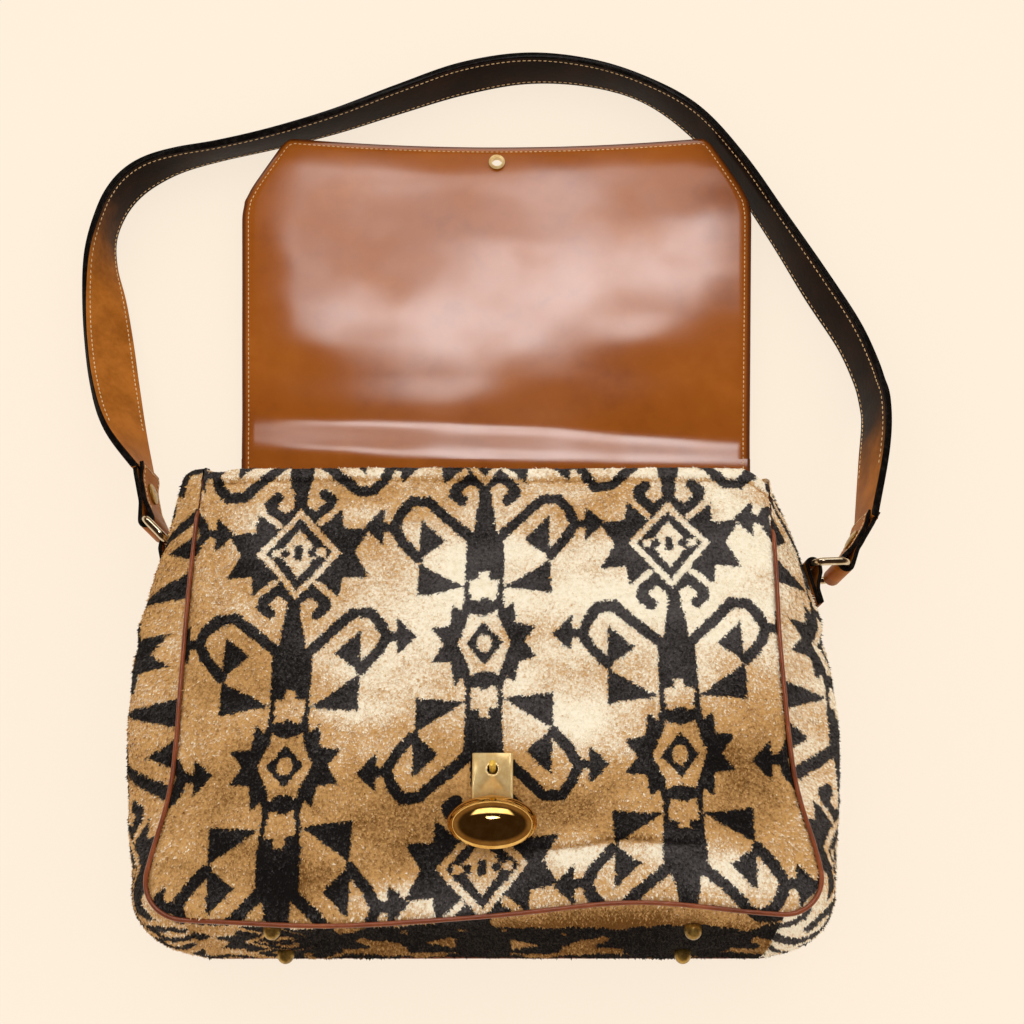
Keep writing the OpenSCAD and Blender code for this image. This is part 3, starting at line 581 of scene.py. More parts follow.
# the worn bag's bottom seam sags and lifts, and its mouth is not quite straight
sag = {
    "seam": [(6.9, 78, 54), (-4.4, -80, 62)],  # height, place and reach
    "seamReach": 70, "mouth": 1.3, "mouthReach": 34, "rightDrop": 11.0, "rightAt": 140, "rightReach": 22,
    "leftDip": 2.5, "leftAt": -151, "leftReach": 7, "ripple": 0.8, "rippleCell": 40,
    # the stuffed sides pull the front seams inward, as height, left and right
    "pull": [(0, 0, 0), (15, 2.0, 0.4), (36, 4.4, 2.6), (58, 8.8, 8.0), (84, 8.4, 9.0), (127, 5.2, 7.6),
             (182, 2.2, 3.6), (244, 0, 0)],
    "pullSoft": (-12, -6, 0, 6, 12),
}


def seamWave(x):
    return sum(height * hump(x - at, reach) for height, at, reach in sag["seam"])


def frontShift(x, q):
    s = sag
    low = seamWave(x) * ease((s["seamReach"] - q) / s["seamReach"])
    mouth = s["mouth"] - s["rightDrop"] * ease((x - s["rightAt"]) / s["rightReach"]) ** 2
    mouth = mouth - s["leftDip"] * hump(x - s["leftAt"], s["leftReach"])
    mouth = mouth + s["ripple"] * lineNoise(x, s["rippleCell"], 15)
    return low + mouth * ease((q - bag["frontHeight"] + s["mouthReach"]) / s["mouthReach"])


def sideShift(side, q):
    high, left, right = np.array(sag["pull"]).T
    pull = left if side < 0 else right
    return sum(np.interp(q + d, high, pull) for d in sag["pullSoft"]) / len(sag["pullSoft"])


# the woven figure: every shape is given in one quarter of the repeat, u across and v along the column
figure = {
    "pitch": 102.5, "repeat": 236.0, "outerStar": 74.0, "shift": 64.0, "lean": 0.03, "leanReach": 160,
    "wander": [(1.0, 26, 3), (1.2, 22, 4)], "reach": 6,
    "star": [(-1, -1), (31, -1), (31, 0), (39, 13.8), (24.5, 14), (23.5, 25.5), (12, 17), (5, 25), (-1, 27)],
    "stem": [(-1, 22), (3.5, 24), (4, 35), (6, 44), (7, 55), (10.5, 58), (10.5, 100), (-1, 100)],
    "hook": [(3.5, 24), (9, 20.5), (15.5, 26.5), (17.2, 31), (13.2, 34.6)],
    "bars": [(11.3, 17), (21.4, 25.8)],
    "loop": [(7, 58), (24, 43), (32, 35.5), (41, 35.5), (46.5, 42), (50, 50), (45, 58.5), (36.5, 68)],
    "barb": [(36, 45.4), (22, 58.6), (36, 69)],
    "flag": [(36, 70), (36.5, 89.3), (10.5, 87)],
    "arrow": [(55.5, 39), (66.5, 49.5), (55.5, 60.5)],
    "neck": [(49, 50), (58, 49.5)],
    "castle": [(-1, 77.5), (2.8, 77.5), (2.8, 82.5), (7.8, 82.5), (7.8, 91), (6.5, 91), (8, 95.5),
               (2.5, 95.5), (2.5, 93), (-1, 93)],
    "smallStar": [(-1, -1), (21.8, -1), (21.8, 0), (28.4, 9.2), (18, 10.4), (16.5, 22.6), (12, 18.4),
                  (10.5, 24), (-1, 24)],
    "hexagon": [(-1, -1), (14, -1), (14, 0), (8.4, 13.6), (7.9, 18.4), (5.2, 16.4), (-1, 15.3)],
    "loopWidth": 6.0, "hookWidth": 6.6, "neckWidth": 5.2, "barWidth": 3.5,
    # lozenges of the large star, from the outside in, and the marks in its heart
    "body": (22, 25), "frame": (20.6, 23.2), "frameHalf": 1.8, "heart": (10.6, 14.2), "beadAt": 12.4,
    "bead": 2.3, "core": (2.2, 4.2), "dotAt": 7.2, "dot": 2.5,
    # the small star's lozenge and eye, and how far it takes the column over
    "smallHeart": (9.9, 12.4), "eye": (4, 5.2), "eyeScale": 4.4, "smallReach": 24, "smallSolid": 17.5,
}


def edgeDistance(u, v, a, b):
    span = (b[0] - a[0]) ** 2 + (b[1] - a[1]) ** 2
    t = np.clip(((u - a[0]) * (b[0] - a[0]) + (v - a[1]) * (b[1] - a[1])) / span, 0, 1)
    return np.hypot(u - a[0] - t * (b[0] - a[0]), v - a[1] - t * (b[1] - a[1]))


def polygonField(u, v, polygon):
    best, inside = np.full(u.shape, 1e9), np.zeros(u.shape, bool)
    for a, b in zip(polygon, polygon[1:] + polygon[:1]):
        best = np.minimum(best, edgeDistance(u, v, a, b))
        if a[1] != b[1]:
            inside ^= ((a[1] > v) != (b[1] > v)) & (u < (b[0] - a[0]) * (v - a[1]) / (b[1] - a[1]) + a[0])
    return np.where(inside, best, -best)


def lineField(u, v, line, width):
    best = np.full(u.shape, 1e9)
    for a, b in zip(line, line[1:]):
        best = np.minimum(best, edgeDistance(u, v, a, b))
    return width / 2 - best


def diamondField(u, v, w, h):
    return (1 - np.abs(u) / w - np.abs(v) / h) * w * h / math.hypot(w, h)


def columnField(u, v):
    f = figure
    black = np.maximum(polygonField(u, v, f["star"]), diamondField(u, v, *f["body"]))
    for name in ("flag", "barb", "arrow", "stem"):
        black = np.maximum(black, polygonField(u, v, f[name]))
    for name in ("loop", "hook", "neck"):
        black = np.maximum(black, lineField(u, v, f[name], f[name + "Width"]))
    gold = f["frameHalf"] - np.abs(diamondField(u, v, *f["frame"]))
    gold = np.maximum(gold, diamondField(u, v, *f["heart"]))
    gold = np.maximum(gold, lineField(u, v, f["bars"], f["barWidth"]))
    gold = np.maximum(gold, f["bead"] - np.maximum(np.abs(u - f["beadAt"]), np.abs(v)))
    gold = np.maximum(gold, polygonField(u, v, f["castle"]))
    core = np.maximum(np.minimum(f["core"][0] - u, f["core"][1] - v), f["dot"] - np.hypot(u - f["dotAt"], v))
    black = np.maximum(np.minimum(black, -gold), core)
    w = f["repeat"] / 2 - v
    small = np.minimum(polygonField(u, w, f["smallStar"]), -polygonField(u, w, f["hexagon"]))
    small = np.maximum(small, diamondField(u, w, *f["smallHeart"]))
    small = np.minimum(small, (np.hypot(u / f["eye"][0], w / f["eye"][1]) - 1) * f["eyeScale"])
    small = np.maximum(small, np.where(w > f["smallSolid"], black, -9))
    return np.where(w < f["smallReach"], small, black)


def inkField(x, y):
    f, columns = figure, []
    (acrossBy, *across), (alongBy, *along) = f["wander"]
    x = x + softNoise(x, y, *across) * acrossBy
    y = y + softNoise(x, y, *along) * alongBy - f["lean"] * np.clip(x, -f["leanReach"], f["leanReach"])
    for offset, star in ((f["pitch"], f["outerStar"]), (0.0, f["outerStar"] + f["shift"])):
        u = np.abs((x - offset + f["pitch"]) % (2 * f["pitch"]) - f["pitch"])
        v = np.abs((y - star + f["repeat"] / 2) % f["repeat"] - f["repeat"] / 2)
        columns.append(columnField(u, v))
    return np.clip(np.maximum(*columns), -f["reach"], f["reach"])


# painted light and shade on the pile: places painted lighter or darker, as (x, y, reach x, reach y, strength)
pile = {
    "ground": 0.24, "cloud": 0.2, "streak": 0.26, "tufts": (0.2, 0.15), "inkSink": 0.12,
    "brushed": [
        (-5, 52, 75, 42, 0.6), (105, 40, 62, 44, 0.62), (152, 88, 36, 40, 0.5), (26, -15, 32, 26, 0.42),
        (56, -22, 26, 24, 0.4), (-50, 8, 34, 20, 0.3), (-36, -72, 58, 28, -0.75), (58, -66, 50, 18, -0.45),
        (134, -42, 30, 40, -0.65), (-138, -60, 34, 44, -0.4), (60, 93, 36, 20, -0.2), (-36, -112, 28, 9, 0.6),
        (52, -100, 44, 10, 0.3), (125, -103, 26, 10, 0.35), (-104, -100, 30, 14, -0.5),
        (-160, 40, 26, 60, -0.35), (-62, 22, 26, 12, -0.4), (18, 22, 16, 10, -0.3), (74, 6, 20, 12, -0.35),
        (-20, -40, 40, 10, -0.2),
    ],
}


def napLightField(x, y):
    total = pile["ground"] + pile["cloud"] * softNoise(x, y, 48, 21)
    total = total + pile["streak"] * softNoise(x * 0.6, y * 1.5, 17, 22)
    for px, py, rx, ry, strength in pile["brushed"]:
        total = total + strength * np.exp(-((x - px) / rx) ** 2 - ((y - py) / ry) ** 2)
    return total


def pileRelief(x, y, ink):
    large, small = pile["tufts"]
    return large * softNoise(x, y, 1.9, 31) + small * softNoise(x, y, 1.1, 32) - pile["inkSink"] * ease(ink)


# pile: small leaves of thread that stand on the cloth and lie over with the nap
tufts = {
    "spacing": 0.95, "length": 1.5, "width": 1.0, "lift": -0.1, "lie": 1.15, "lieSpread": 0.28,
    "wander": 0.9, "spread": 0.6, "down": (0.02, -1.0, -0.35), "growSpread": 0.22, "growLimits": (0.5, 1.5),
    "shadeSpread": 0.2,
}


def pileOn(name, grid, ink, nap, flat, seed, short=None):
    t, draw = tufts, np.random.default_rng(seed)
    normal = np.cross(grid[:-1, 1:] - grid[:-1, :-1], grid[1:, :-1] - grid[:-1, :-1])
    inside = [0, 0, bag["baseDepth"] / 2]
    if ((grid[:-1, :-1] - inside) * normal).sum() < 0:
        normal = -normal
    area = np.linalg.norm(normal, axis=-1).ravel()
    count = int(area.sum() / t["spacing"] ** 2)
    cell = np.searchsorted(np.cumsum(area) / area.sum(), draw.random(count))
    row, column = np.unravel_index(np.minimum(cell, len(area) - 1), normal.shape[:2])
    a, b = draw.random((2, count))

    def pick(part):
        low = part[row, column] * (1 - b)[:, None] + part[row, column + 1] * b[:, None]
        high = part[row + 1, column] * (1 - b)[:, None] + part[row + 1, column + 1] * b[:, None]
        return low * (1 - a)[:, None] + high * a[:, None]

    def pickValue(part):
        return pick(part[..., None])[:, 0]

    up = unit(normal[row, column])
    spot = pick(grid)
    turn = t["wander"] * softNoise(spot[:, 0], spot[:, 1], 30, seed) + t["spread"] * draw.normal(size=count)
    down = np.array(t["down"])
    down = unit(down - up * (up @ down)[:, None])
    lie = down * np.cos(turn)[:, None] + np.cross(up, down) * np.sin(turn)[:, None]
    lean = t["lie"] + t["lieSpread"] * draw.normal(size=count)
    along = up * np.cos(lean)[:, None] + lie * np.sin(lean)[:, None]
    grow = np.clip(1 + t["growSpread"] * draw.normal(size=count), *t["growLimits"])
    if short is not None:
        grow = grow * pickValue(short)
    weave = np.pad(pick(flat) * mm, ((0, 0), (0, 1)))
    light = pickValue(nap) + t["shadeSpread"] * draw.normal(size=count)
    carried = {"ink": pickValue(ink), "nap": light, "weave": weave}
    root = spot + up * t["lift"]
    made = repeated(name, "leaf", root, along, up, t["length"], t["width"], pileLook, grow, carried)
    return settle(made, "velvet", "bag")


def velvetPiece(name, node, grid, flat, ink, nap, flip=False):
    weave = np.concatenate([flat * mm, np.zeros(flat.shape[:2] + (1,))], -1).reshape(-1, 3)
    faces = gridFaces(*grid.shape[:2])
    fields = {"ink": ink.ravel(), "nap": nap.ravel(), "weave": weave}
    made = makeMesh(name, grid, faces[:, ::-1] if flip else faces, velvet, fields)
    return settle(made, "velvet", "bag", node)


# the cloth goes on past its side edges, down into the seam
def withSkirt(grid, step, *fields):
    grid = np.concatenate([grid[:, :1] + step, grid, grid[:, -1:] + step], 1)
    return [grid] + [np.concatenate([part[:, :1], part, part[:, -1:]], 1) for part in fields]


# rows close together round the corner, then one for each cell, and their half widths
def panelGrid(h, cornerRows, cell, top, columns):
    inset, r = bag["seamInset"], bag["corner"]
    turn = np.linspace(0, math.pi / 2, cornerRows)
    q = np.concatenate([inset + (r - inset) * (1 - np.cos(turn)), np.arange(r + cell, top, cell)])
    half = halfWidth(h, q, inset)[:, None]
    x = np.linspace(-1, 1, columns)[None] * half
    return x, np.broadcast_to(q[:, None], x.shape), half


# front panel: puffed velvet with a hem at the mouth, a fold near the base and wrinkles by the piping
panel = {
    "cell": 1.15, "columns": 295, "cornerRows": 26, "puff": 3.4, "puffReach": 45, "puffTop": (6, 40),
    "roll": 2.4, "rollReach": 2.6, "pinch": 0.7, "pinchReach": 7, "lump": 0.9, "pucker": 0.45,
    "puckerRun": 2.6, "hem": 6.5, "hemRise": 0.5, "hemSeam": 1.3,
    "hemTurn": [(0.9, 0.3), (1.2, 1.6), (0.7, 3.2), (-1.5, 4.0), (-12, 4.2)],  # rise and depth
    "claspAt": 63, "claspReach": 34, "claspOval": 1.15, "claspDent": 0.35,
    "bareAt": 60, "bareFrom": 8, "bareReach": 22, "bareShare": 0.3,
    "fold": {"from": (18, 22), "to": (120, 24), "at": 34, "middle": 60, "slope": 0.025, "wave": 1.2, "run": 9,
             "lip": 1.8, "groove": 2.6, "drop": 1.2},
    "folds": [
        ((-155, 214), (-153, 120), 5, 1.9), ((-146, 205), (-144, 128), 5, -1.7),
        ((-137, 190), (-136, 140), 6, 0.9), ((-150, 90), (-163, 44), 6, -2.2),
        ((-139, 84), (-152, 40), 6, 1.9), ((-126, 80), (-140, 46), 6, -1.2),
        ((-118, 62), (-132, 58), 7, 1.0), ((140, 180), (146, 90), 7, 0.8),
        ((150, 120), (158, 60), 6, -0.9), ((-60, 236), (-52, 200), 8, 0.8), ((70, 236), (64, 196), 9, 0.7),
        ((-20, 232), (-24, 214), 6, -0.6), ((110, 60), (146, 30), 7, 1.0), ((-90, 30), (-40, 20), 7, 0.9),
        ((-150, 22), (-118, 16), 4, -1.6), ((-100, 62), (-40, 70), 9, 0.9), ((-96, 50), (-36, 58), 8, -0.8),
    ],
}


def foldField(x, q, folds):
    total = np.zeros(np.broadcast(x, q).shape)
    for a, b, width, height in folds:
        span = (b[0] - a[0]) ** 2 + (b[1] - a[1]) ** 2
        t = ((x - a[0]) * (b[0] - a[0]) + (q - a[1]) * (b[1] - a[1])) / span
        reach = ease((t + 0.25) / 0.4) * ease((1.25 - t) / 0.4)
        total = total + height * reach * hump(edgeDistance(x, q, a, b), width)
    return total


def underFold(x, q):
    f = panel["fold"]
    (start, startReach), (end, endReach) = f["from"], f["to"]
    window = ease((x - start) / startReach) * ease((end - x) / endReach)
    line = q - f["at"] - f["slope"] * (x - f["middle"]) - f["wave"] * np.sin(x / f["run"])
    return window, line


def panelHeight(x, q):
    p, f = panel, panel["fold"]
    d, top = seamDistance(bag["frontHeight"], x, q), bag["frontHeight"] - q
    puff = p["puff"] * ease(d / p["puffReach"]) * (0.75 + 0.25 * softNoise(x, q, 70, 11))
    puff = puff * ease((top + p["puffTop"][0]) / p["puffTop"][1])
    clasp = hump(np.hypot((x - bag["closure"]) / p["claspOval"], q - p["claspAt"]), p["claspReach"])
    w = puff * (1 - clasp) - p["claspDent"] * clasp
    w -= p["roll"] * hump(d, p["rollReach"]) + p["pinch"] * np.exp(-d / p["pinchReach"])
    w += foldField(x, q, p["folds"]) * ease(d / 8)
    window, line = underFold(x, q)
    lip, groove = f["lip"] * hump(line - 4, 3.6), f["groove"] * hump(line + 0.5, 1.5)
    w += window * (lip - groove - f["drop"] * ease(-line / 12))
    along = np.where(q < 40, x, q)
    ripple = np.sin(along / p["puckerRun"] + 3 * lineNoise(along, 30, 12))
    w += p["pucker"] * ripple * hump(d - 5, 6) * ease(top / 20)
    w += p["lump"] * softNoise(x, q, 34, 13) * ease(d / 20) * (1 - clasp)
    w += p["hemRise"] * hump(top - 2.5, 3) - p["hemSeam"] * hump(top - p["hem"], 1.1)
    return w


def frontPanel():
    p, h = panel, bag["frontHeight"]
    x, q, half = panelGrid(h, p["cornerRows"], p["cell"], h, p["columns"])
    y = q - h / 2
    height = panelHeight(x, q)
    pull = np.where(x > 0, sideShift(1, q), sideShift(-1, q)) / half
    x = x * (1 - pull * np.abs(x) / half)
    ink, flat = inkField(x, y), np.stack([x, y], -1)
    # painted highlight along the top edge and a painted shadow line in the hem crease
    nap = napLightField(x, y) + 0.35 * hump(h - q - 2, 4) - 0.5 * hump(h - q - p["hem"], 1.3)
    window, line = underFold(x, q)
    # painted shadow along the fold's crease and a painted highlight on the cloth below it
    nap = nap + window * (0.35 * hump(line + 5, 5) - 0.5 * hump(line, 1.6))
    moved = q + frontShift(x, q)
    grid = frontPoint(x, moved, -height - pileRelief(x, y, ink))
    under = frontPoint(x[:1], moved[:1], bag["velvet"])  # edge under the piping
    # the edge under the piping is painted in shade
    strips = [(under, ink[:1], flat[:1], nap[:1] - 0.5), (grid, ink, flat, nap)]
    for lift, depth in p["hemTurn"]:  # hem turned over the mouth
        row = frontPoint(x[-1:], moved[-1:] + lift, depth + 0.2 * lineNoise(x[-1:], 5, 41))
        edge = y[-1:] + abs(lift) + depth
        # the turned hem is painted a little lighter
        strips.append((row, inkField(x[-1:], edge), np.stack([x[-1:], edge], -1), nap[-1:] + 0.1))
    grid, ink, flat, nap = (np.concatenate(part) for part in zip(*strips))
    down = np.array([0, -math.sin(tilt), -math.cos(tilt)]) * bag["skirt"]
    grid, ink, flat, nap = withSkirt(grid, down, ink, flat, nap)
    away = np.hypot(grid[..., 0] - bag["closure"], grid[..., 1] - frontPoint(0, p["bareAt"], 0)[1])
    clear = np.clip((away - p["bareFrom"]) / p["bareReach"], p["bareShare"], 1)  # short pile round the clasp
    seen = (slice(1, -2), slice(1, -1))
    pileOn("pileFront", grid[seen], ink[seen], nap[seen], flat[seen], 201, clear[seen])
    return velvetPiece("velvetFront", "front_panel", grid, flat, ink, nap)


backSide = {
    "cell": 2.0, "columns": 170, "cornerRows": 16, "figureShift": 40, "sink": 0.25, "seam": 1.6, "hemRows": 8,
}


def backPanel():
    b, h = backSide, bag["backHeight"]
    x, q, _ = panelGrid(h, b["cornerRows"], b["cell"], h + 0.1, b["columns"])
    y = q - h / 2
    ink, flat = inkField(x + b["figureShift"], y), np.stack([x, y], -1)
    d = seamDistance(h, x, q)
    low = b["sink"] + b["seam"] * hump(d, 2.6) + 0.25 * (1 + softNoise(x, y, 30, 51)) * (1 - hump(d, 10))
    outer, inner = backPoint(x, q, low), backPoint(x * 0.995, q, bag["velvet"])
    hem = slice(-2, -b["hemRows"] - 1, -1)
    grid = np.concatenate([inner[:1], outer, inner[-1:], inner[hem]])
    flat = np.concatenate([flat[:1], flat, flat[-1:], flat[hem] + [0, b["hemRows"] * b["cell"] - b["cell"]]])
    ink = np.concatenate([ink[:1], ink, ink[-1:], ink[hem]])
    grid, ink, flat = withSkirt(grid, np.array([0, 0, bag["skirt"]]), ink, flat)
    nap = 0.1 + 0.2 * softNoise(flat[..., 0], flat[..., 1], 40, 23)
    return velvetPiece("velvetBack", "back_panel", grid, flat, ink, nap, True)


# side gussets: the part's own skin, with soft creases and, on the left, a fuller front edge
gusset = {
    "rows": 230, "cornerRows": 44, "columns": 80, "edge": 3.4, "crease": 1.1, "slant": 0.7,
    "fold": (1.6, 40, 7), "dent": (1.3, 28, 6),  # height, place and width
    "top": 122, "run": 230, "cornerRun": 34, "flatFrom": 172, "flatWide": 82, "liningRows": 12, "rim": 1.4,
    "at": [0, 0.1, 0.3, 0.5, 0.7, 0.8, 0.9, 2],
    # the last entry of each side is painted light: the right gusset is painted lighter than the left
    -1: {"full": [10.5, 8.0, 8.6, 9.4, 7.4, 2.6, 0.2, 0], "ear": 5.0, "nap": 0.06},
    1: {"full": [-3.0, 0.5, -0.5, -1.0, 0.4, 0.2, 0, 0], "ear": -6.0, "nap": 0.58},
}


# k runs as in sidePoint, and s from the front seam at 0 to the back seam at 1
def gussetPoint(k, s, depth, edge=4.8, side=0):
    g = gusset
    share = np.where(k <= 0.5, bag["mouthShare"], bag["baseShare"])
    rise = np.sin(math.pi * np.minimum(k, 1))
    bulge = np.where(k <= 1, share + (1 - share) * rise, bag["baseShare"] * np.cos(math.pi / 2 * (k - 1)))
    inset = depth - bag["swell"] * bulge * 4 * s * (1 - s)
    if side:
        full = sum(np.interp(k + d, g["at"], g[side]["full"]) for d in (-0.04, 0.04)) / 2
        inset = inset - full * hump(s - 0.2, 0.14) * ease(s / 0.1)
    f, b = sidePoint(bag["frontHeight"], k, inset), sidePoint(bag["backHeight"], k, inset)
    front, back = frontPoint(f[..., 0], f[..., 1], edge), backPoint(b[..., 0], b[..., 1], edge)
    point = front + (back - front) * s[..., None]
    if side:
        top = g[side]["ear"] * hump(s - 0.1, 0.13) * ease((0.14 - k) / 0.14)
        low = seamWave(np.full(k.shape, side * 165.0)) * ease(k - 1) * ease((0.4 - s) / 0.4)
        pull = sideShift(side, f[..., 1]) * ease((0.42 - s) / 0.42) * ease((1.9 - k) * 2)
        point = point + np.stack([-pull, top + low, 0 * top], -1)
    return point


def sideGusset(side):
    g = gusset
    k = np.concatenate([np.linspace(0, 1, g["rows"]), np.linspace(1, 2, g["cornerRows"])[1:]])
    k, s = np.meshgrid(k, np.linspace(0, 1, g["columns"]), indexing="ij")
    y = g["top"] - g["run"] * np.minimum(k, 1) - g["cornerRun"] * np.maximum(k - 1, 0)
    x = g["flatFrom"] + g["flatWide"] * s
    crease = g["crease"] * (softNoise(y, x, 46, 61 + side) + 0.5 * softNoise(y, x, 18, 63 + side))
    (fold, foldAt, foldWide), (dent, dentAt, dentWide) = g["fold"], g["dent"]
    level = y - g["slant"] * (x - 200)
    fold = fold * hump(level - foldAt, foldWide) * ease((1 - s) * 3)
    crease += fold - dent * hump(level - dentAt, dentWide)
    crease *= np.sin(math.pi * s) ** 0.7 * ease((2 - k) * 4)
    ink = inkField(x * side, y)

    def skin(rows, depth):
        return gussetPoint(k[:rows], s[:rows], np.full(s[:rows].shape, depth), g["edge"], side)

    grid = gussetPoint(k, s, -crease - pileRelief(x, y, ink), g["edge"], side)
    inner = skin(g["liningRows"], bag["velvet"])
    rim = skin(1, g["rim"]) + [0, 0.8, 0]
    grid = np.concatenate([inner[[-1, 4]], inner[:1] + [0, 0.4, 0], rim, grid]) * [side, 1, 1]
    extra = len(grid) - len(k)
    flat = np.stack([x * side, y], -1)
    flat = np.concatenate([flat[:1] + [[[0, 2.0 * i]] for i in range(extra, 0, -1)], flat])
    ink = np.concatenate([np.repeat(ink[:1], extra, 0), ink])
    across, down = flat[..., 0], flat[..., 1]
    nap = g[side]["nap"] + 0.25 * softNoise(across, down, 40, 24) + 0.2 * softNoise(across, down, 14, 25)
    name, seen = sideName[side], slice(extra - 2, None)
    pileOn("pile" + name, grid[seen], ink[seen], nap[seen], flat[seen], 204 + side)
    return velvetPiece("velvet" + name, name.lower() + "_gusset", grid, flat, ink, nap, side < 0)


# base gusset: a little loose between its feet, painted in shade, with the figure nearly lost in the dark
baseSide = {
    "half": 150.2, "columns": 240, "rows": 70, "edge": 3.4, "footX": 107, "footRows": (0.19, 0.81),
    "footReach": 9, "swell": 1.6, "lump": 0.7, "frontShare": 0.8, "darker": 4.2, "lip": 14, "nap": -0.8,
}


def baseGusset():
    b = baseSide
    x, t = np.linspace(-b["half"], b["half"], b["columns"]), np.linspace(0, 1, b["rows"])
    x, t = np.meshgrid(x, t, indexing="xy")
    front, back = frontPoint(x, 0.0, b["edge"]), backPoint(x, 0.0, b["edge"])
    lift = frontPoint(x, seamWave(x) * ease((151 - abs(x)) / 20), b["edge"]) - front
    run = np.linalg.norm(front - back, axis=-1)
    out = unit(np.cross(np.array([1.0, 0, 0]), front - back))
    y = bag["frontBottom"] - run * (1 - t)
    near = ease((t - b["frontShare"]) / (1 - b["frontShare"]))
    # the ground shows along the front seam
    lip = ease((t - b["frontShare"]) / 0.06) * ease((x + 4) / 24) * ease((142 - x) / 24)
    # the black figure is widened over most of the base, which also darkens it as painted shade
    ink = inkField(x, y) + b["darker"] * ease((x + 140) / 110) - b["lip"] * lip
    feet = sum(hump(np.hypot(abs(x) - b["footX"], (t - at) * run), b["footReach"]) for at in b["footRows"])
    swell = b["swell"] * np.sin(math.pi * t) * (1 + 0.7 * softNoise(x, y, 40, 71))
    swell = (swell + b["lump"] * softNoise(x, y, 17, 72) + pileRelief(x, y, ink)) * (1 - feet)
    grid = back + (front - back) * t[..., None] + swell[..., None] * out + lift * near[..., None]
    # painted shade: the base is painted dark, lighter towards its front lip and its left end
    nap = b["nap"] + 0.3 * softNoise(x, y, 30, 26) + 0.6 * near + 0.5 * ease((-x - 60) / 60)
    flat = np.stack([x, y], -1)
    pileOn("pileBase", grid, ink, nap, flat, 206, 1 - 0.7 * feet)
    return velvetPiece("velvetBase", "base_gusset", grid, flat, ink, nap)


# piping: a leather cord in the seam, a little uneven, sinking into the front seam near the mouth
pipe = {
    "radius": 1.2, "sideRows": 130, "cornerRows": 34, "baseRows": 160, "sides": 16, "uneven": (0.06, 0.03),
    "sink": 5.6, "sinkFrom": (24, 35), "cornerSink": 2.6, "cornerAt": -143, "mouthDrop": 3.0, "wander": 0.5,
    "backInset": 0.8,
}


def piping(name, node, h, place, front):
    p = pipe
    k = np.concatenate([np.linspace(0, 1, p["sideRows"]), np.linspace(1, 2, p["cornerRows"])[1:]])
    right = sidePoint(h, k, 0.0)
    out = unit(right - sidePoint(h, k, 1.0))
    level = np.linspace(cornerX(h), -cornerX(h), p["baseRows"])[1:-1]
    bottom = np.stack([level, 0 * level], -1)
    line = np.concatenate([right, bottom, right[::-1] * [-1, 1]])
    normal = np.concatenate([out, np.repeat([[0.0, -1.0]], len(level), 0), out[::-1] * [-1, 1]])
    along = runLength(line)
    lump, twist = p["uneven"]
    size = p["radius"] * (1 + lump * lineNoise(along, 9, 81) + twist * np.sin(along / 1.7))
    sink = 0 * along
    if front:
        x, q = line.T
        inward = np.where(x > 0, -sideShift(1, q), sideShift(-1, q)) * ease((np.abs(x) - 120) / 30)
        reach = np.where(x > 0, p["sinkFrom"][1], p["sinkFrom"][0])
        sink = p["sink"] * ease((q - h + reach + 6) / 12)
        sink = sink + p["cornerSink"] * hump(x - p["cornerAt"], 15) * ease((20 - q) / 10)
        shift = frontShift(x, q) - p["mouthDrop"] * ease((q - h + 20) / 20)
        line = line + np.stack([inward + p["wander"] * lineNoise(along, 34, 82), shift], -1)
    else:
        line = line - normal * p["backInset"]
    ring = circle(1.0, p["sides"])
    flat = line[:, None] + normal[:, None] * ring[None, :, :1] * size[:, None, None]
    grid = place(flat[..., 0], flat[..., 1], p["radius"] + sink[:, None] - ring[None, :, 1] * size[:, None])
    rows, columns = grid.shape[:2]
    around = np.tile(np.arange(columns) * 0.9, rows)
    weave = np.stack([np.repeat(along, columns), around, 0 * around], -1)
    faces = [gridFaces(rows, columns, True), endFaces(rows, columns)]
    made = makeMesh(name, grid.reshape(-1, 3), faces, pipingLeather, {"weave": weave * mm})
    return settle(made, "piping", "bag", node)


# lining: a loose cloth cup just inside the panels
lining = {
    "bottom": 11.0, "below": 6, "inset": 5.8, "front": 6.8, "back": 8.6, "loose": 0.8, "bow": 4, "rows": 46,
    "across": 70, "side": 24, "start": [0.0, 0.004, 0.012, 0.03], "floor": (0.02, 0.35, 0.7),
    "lip": [0.006, 0, 0.03],
}


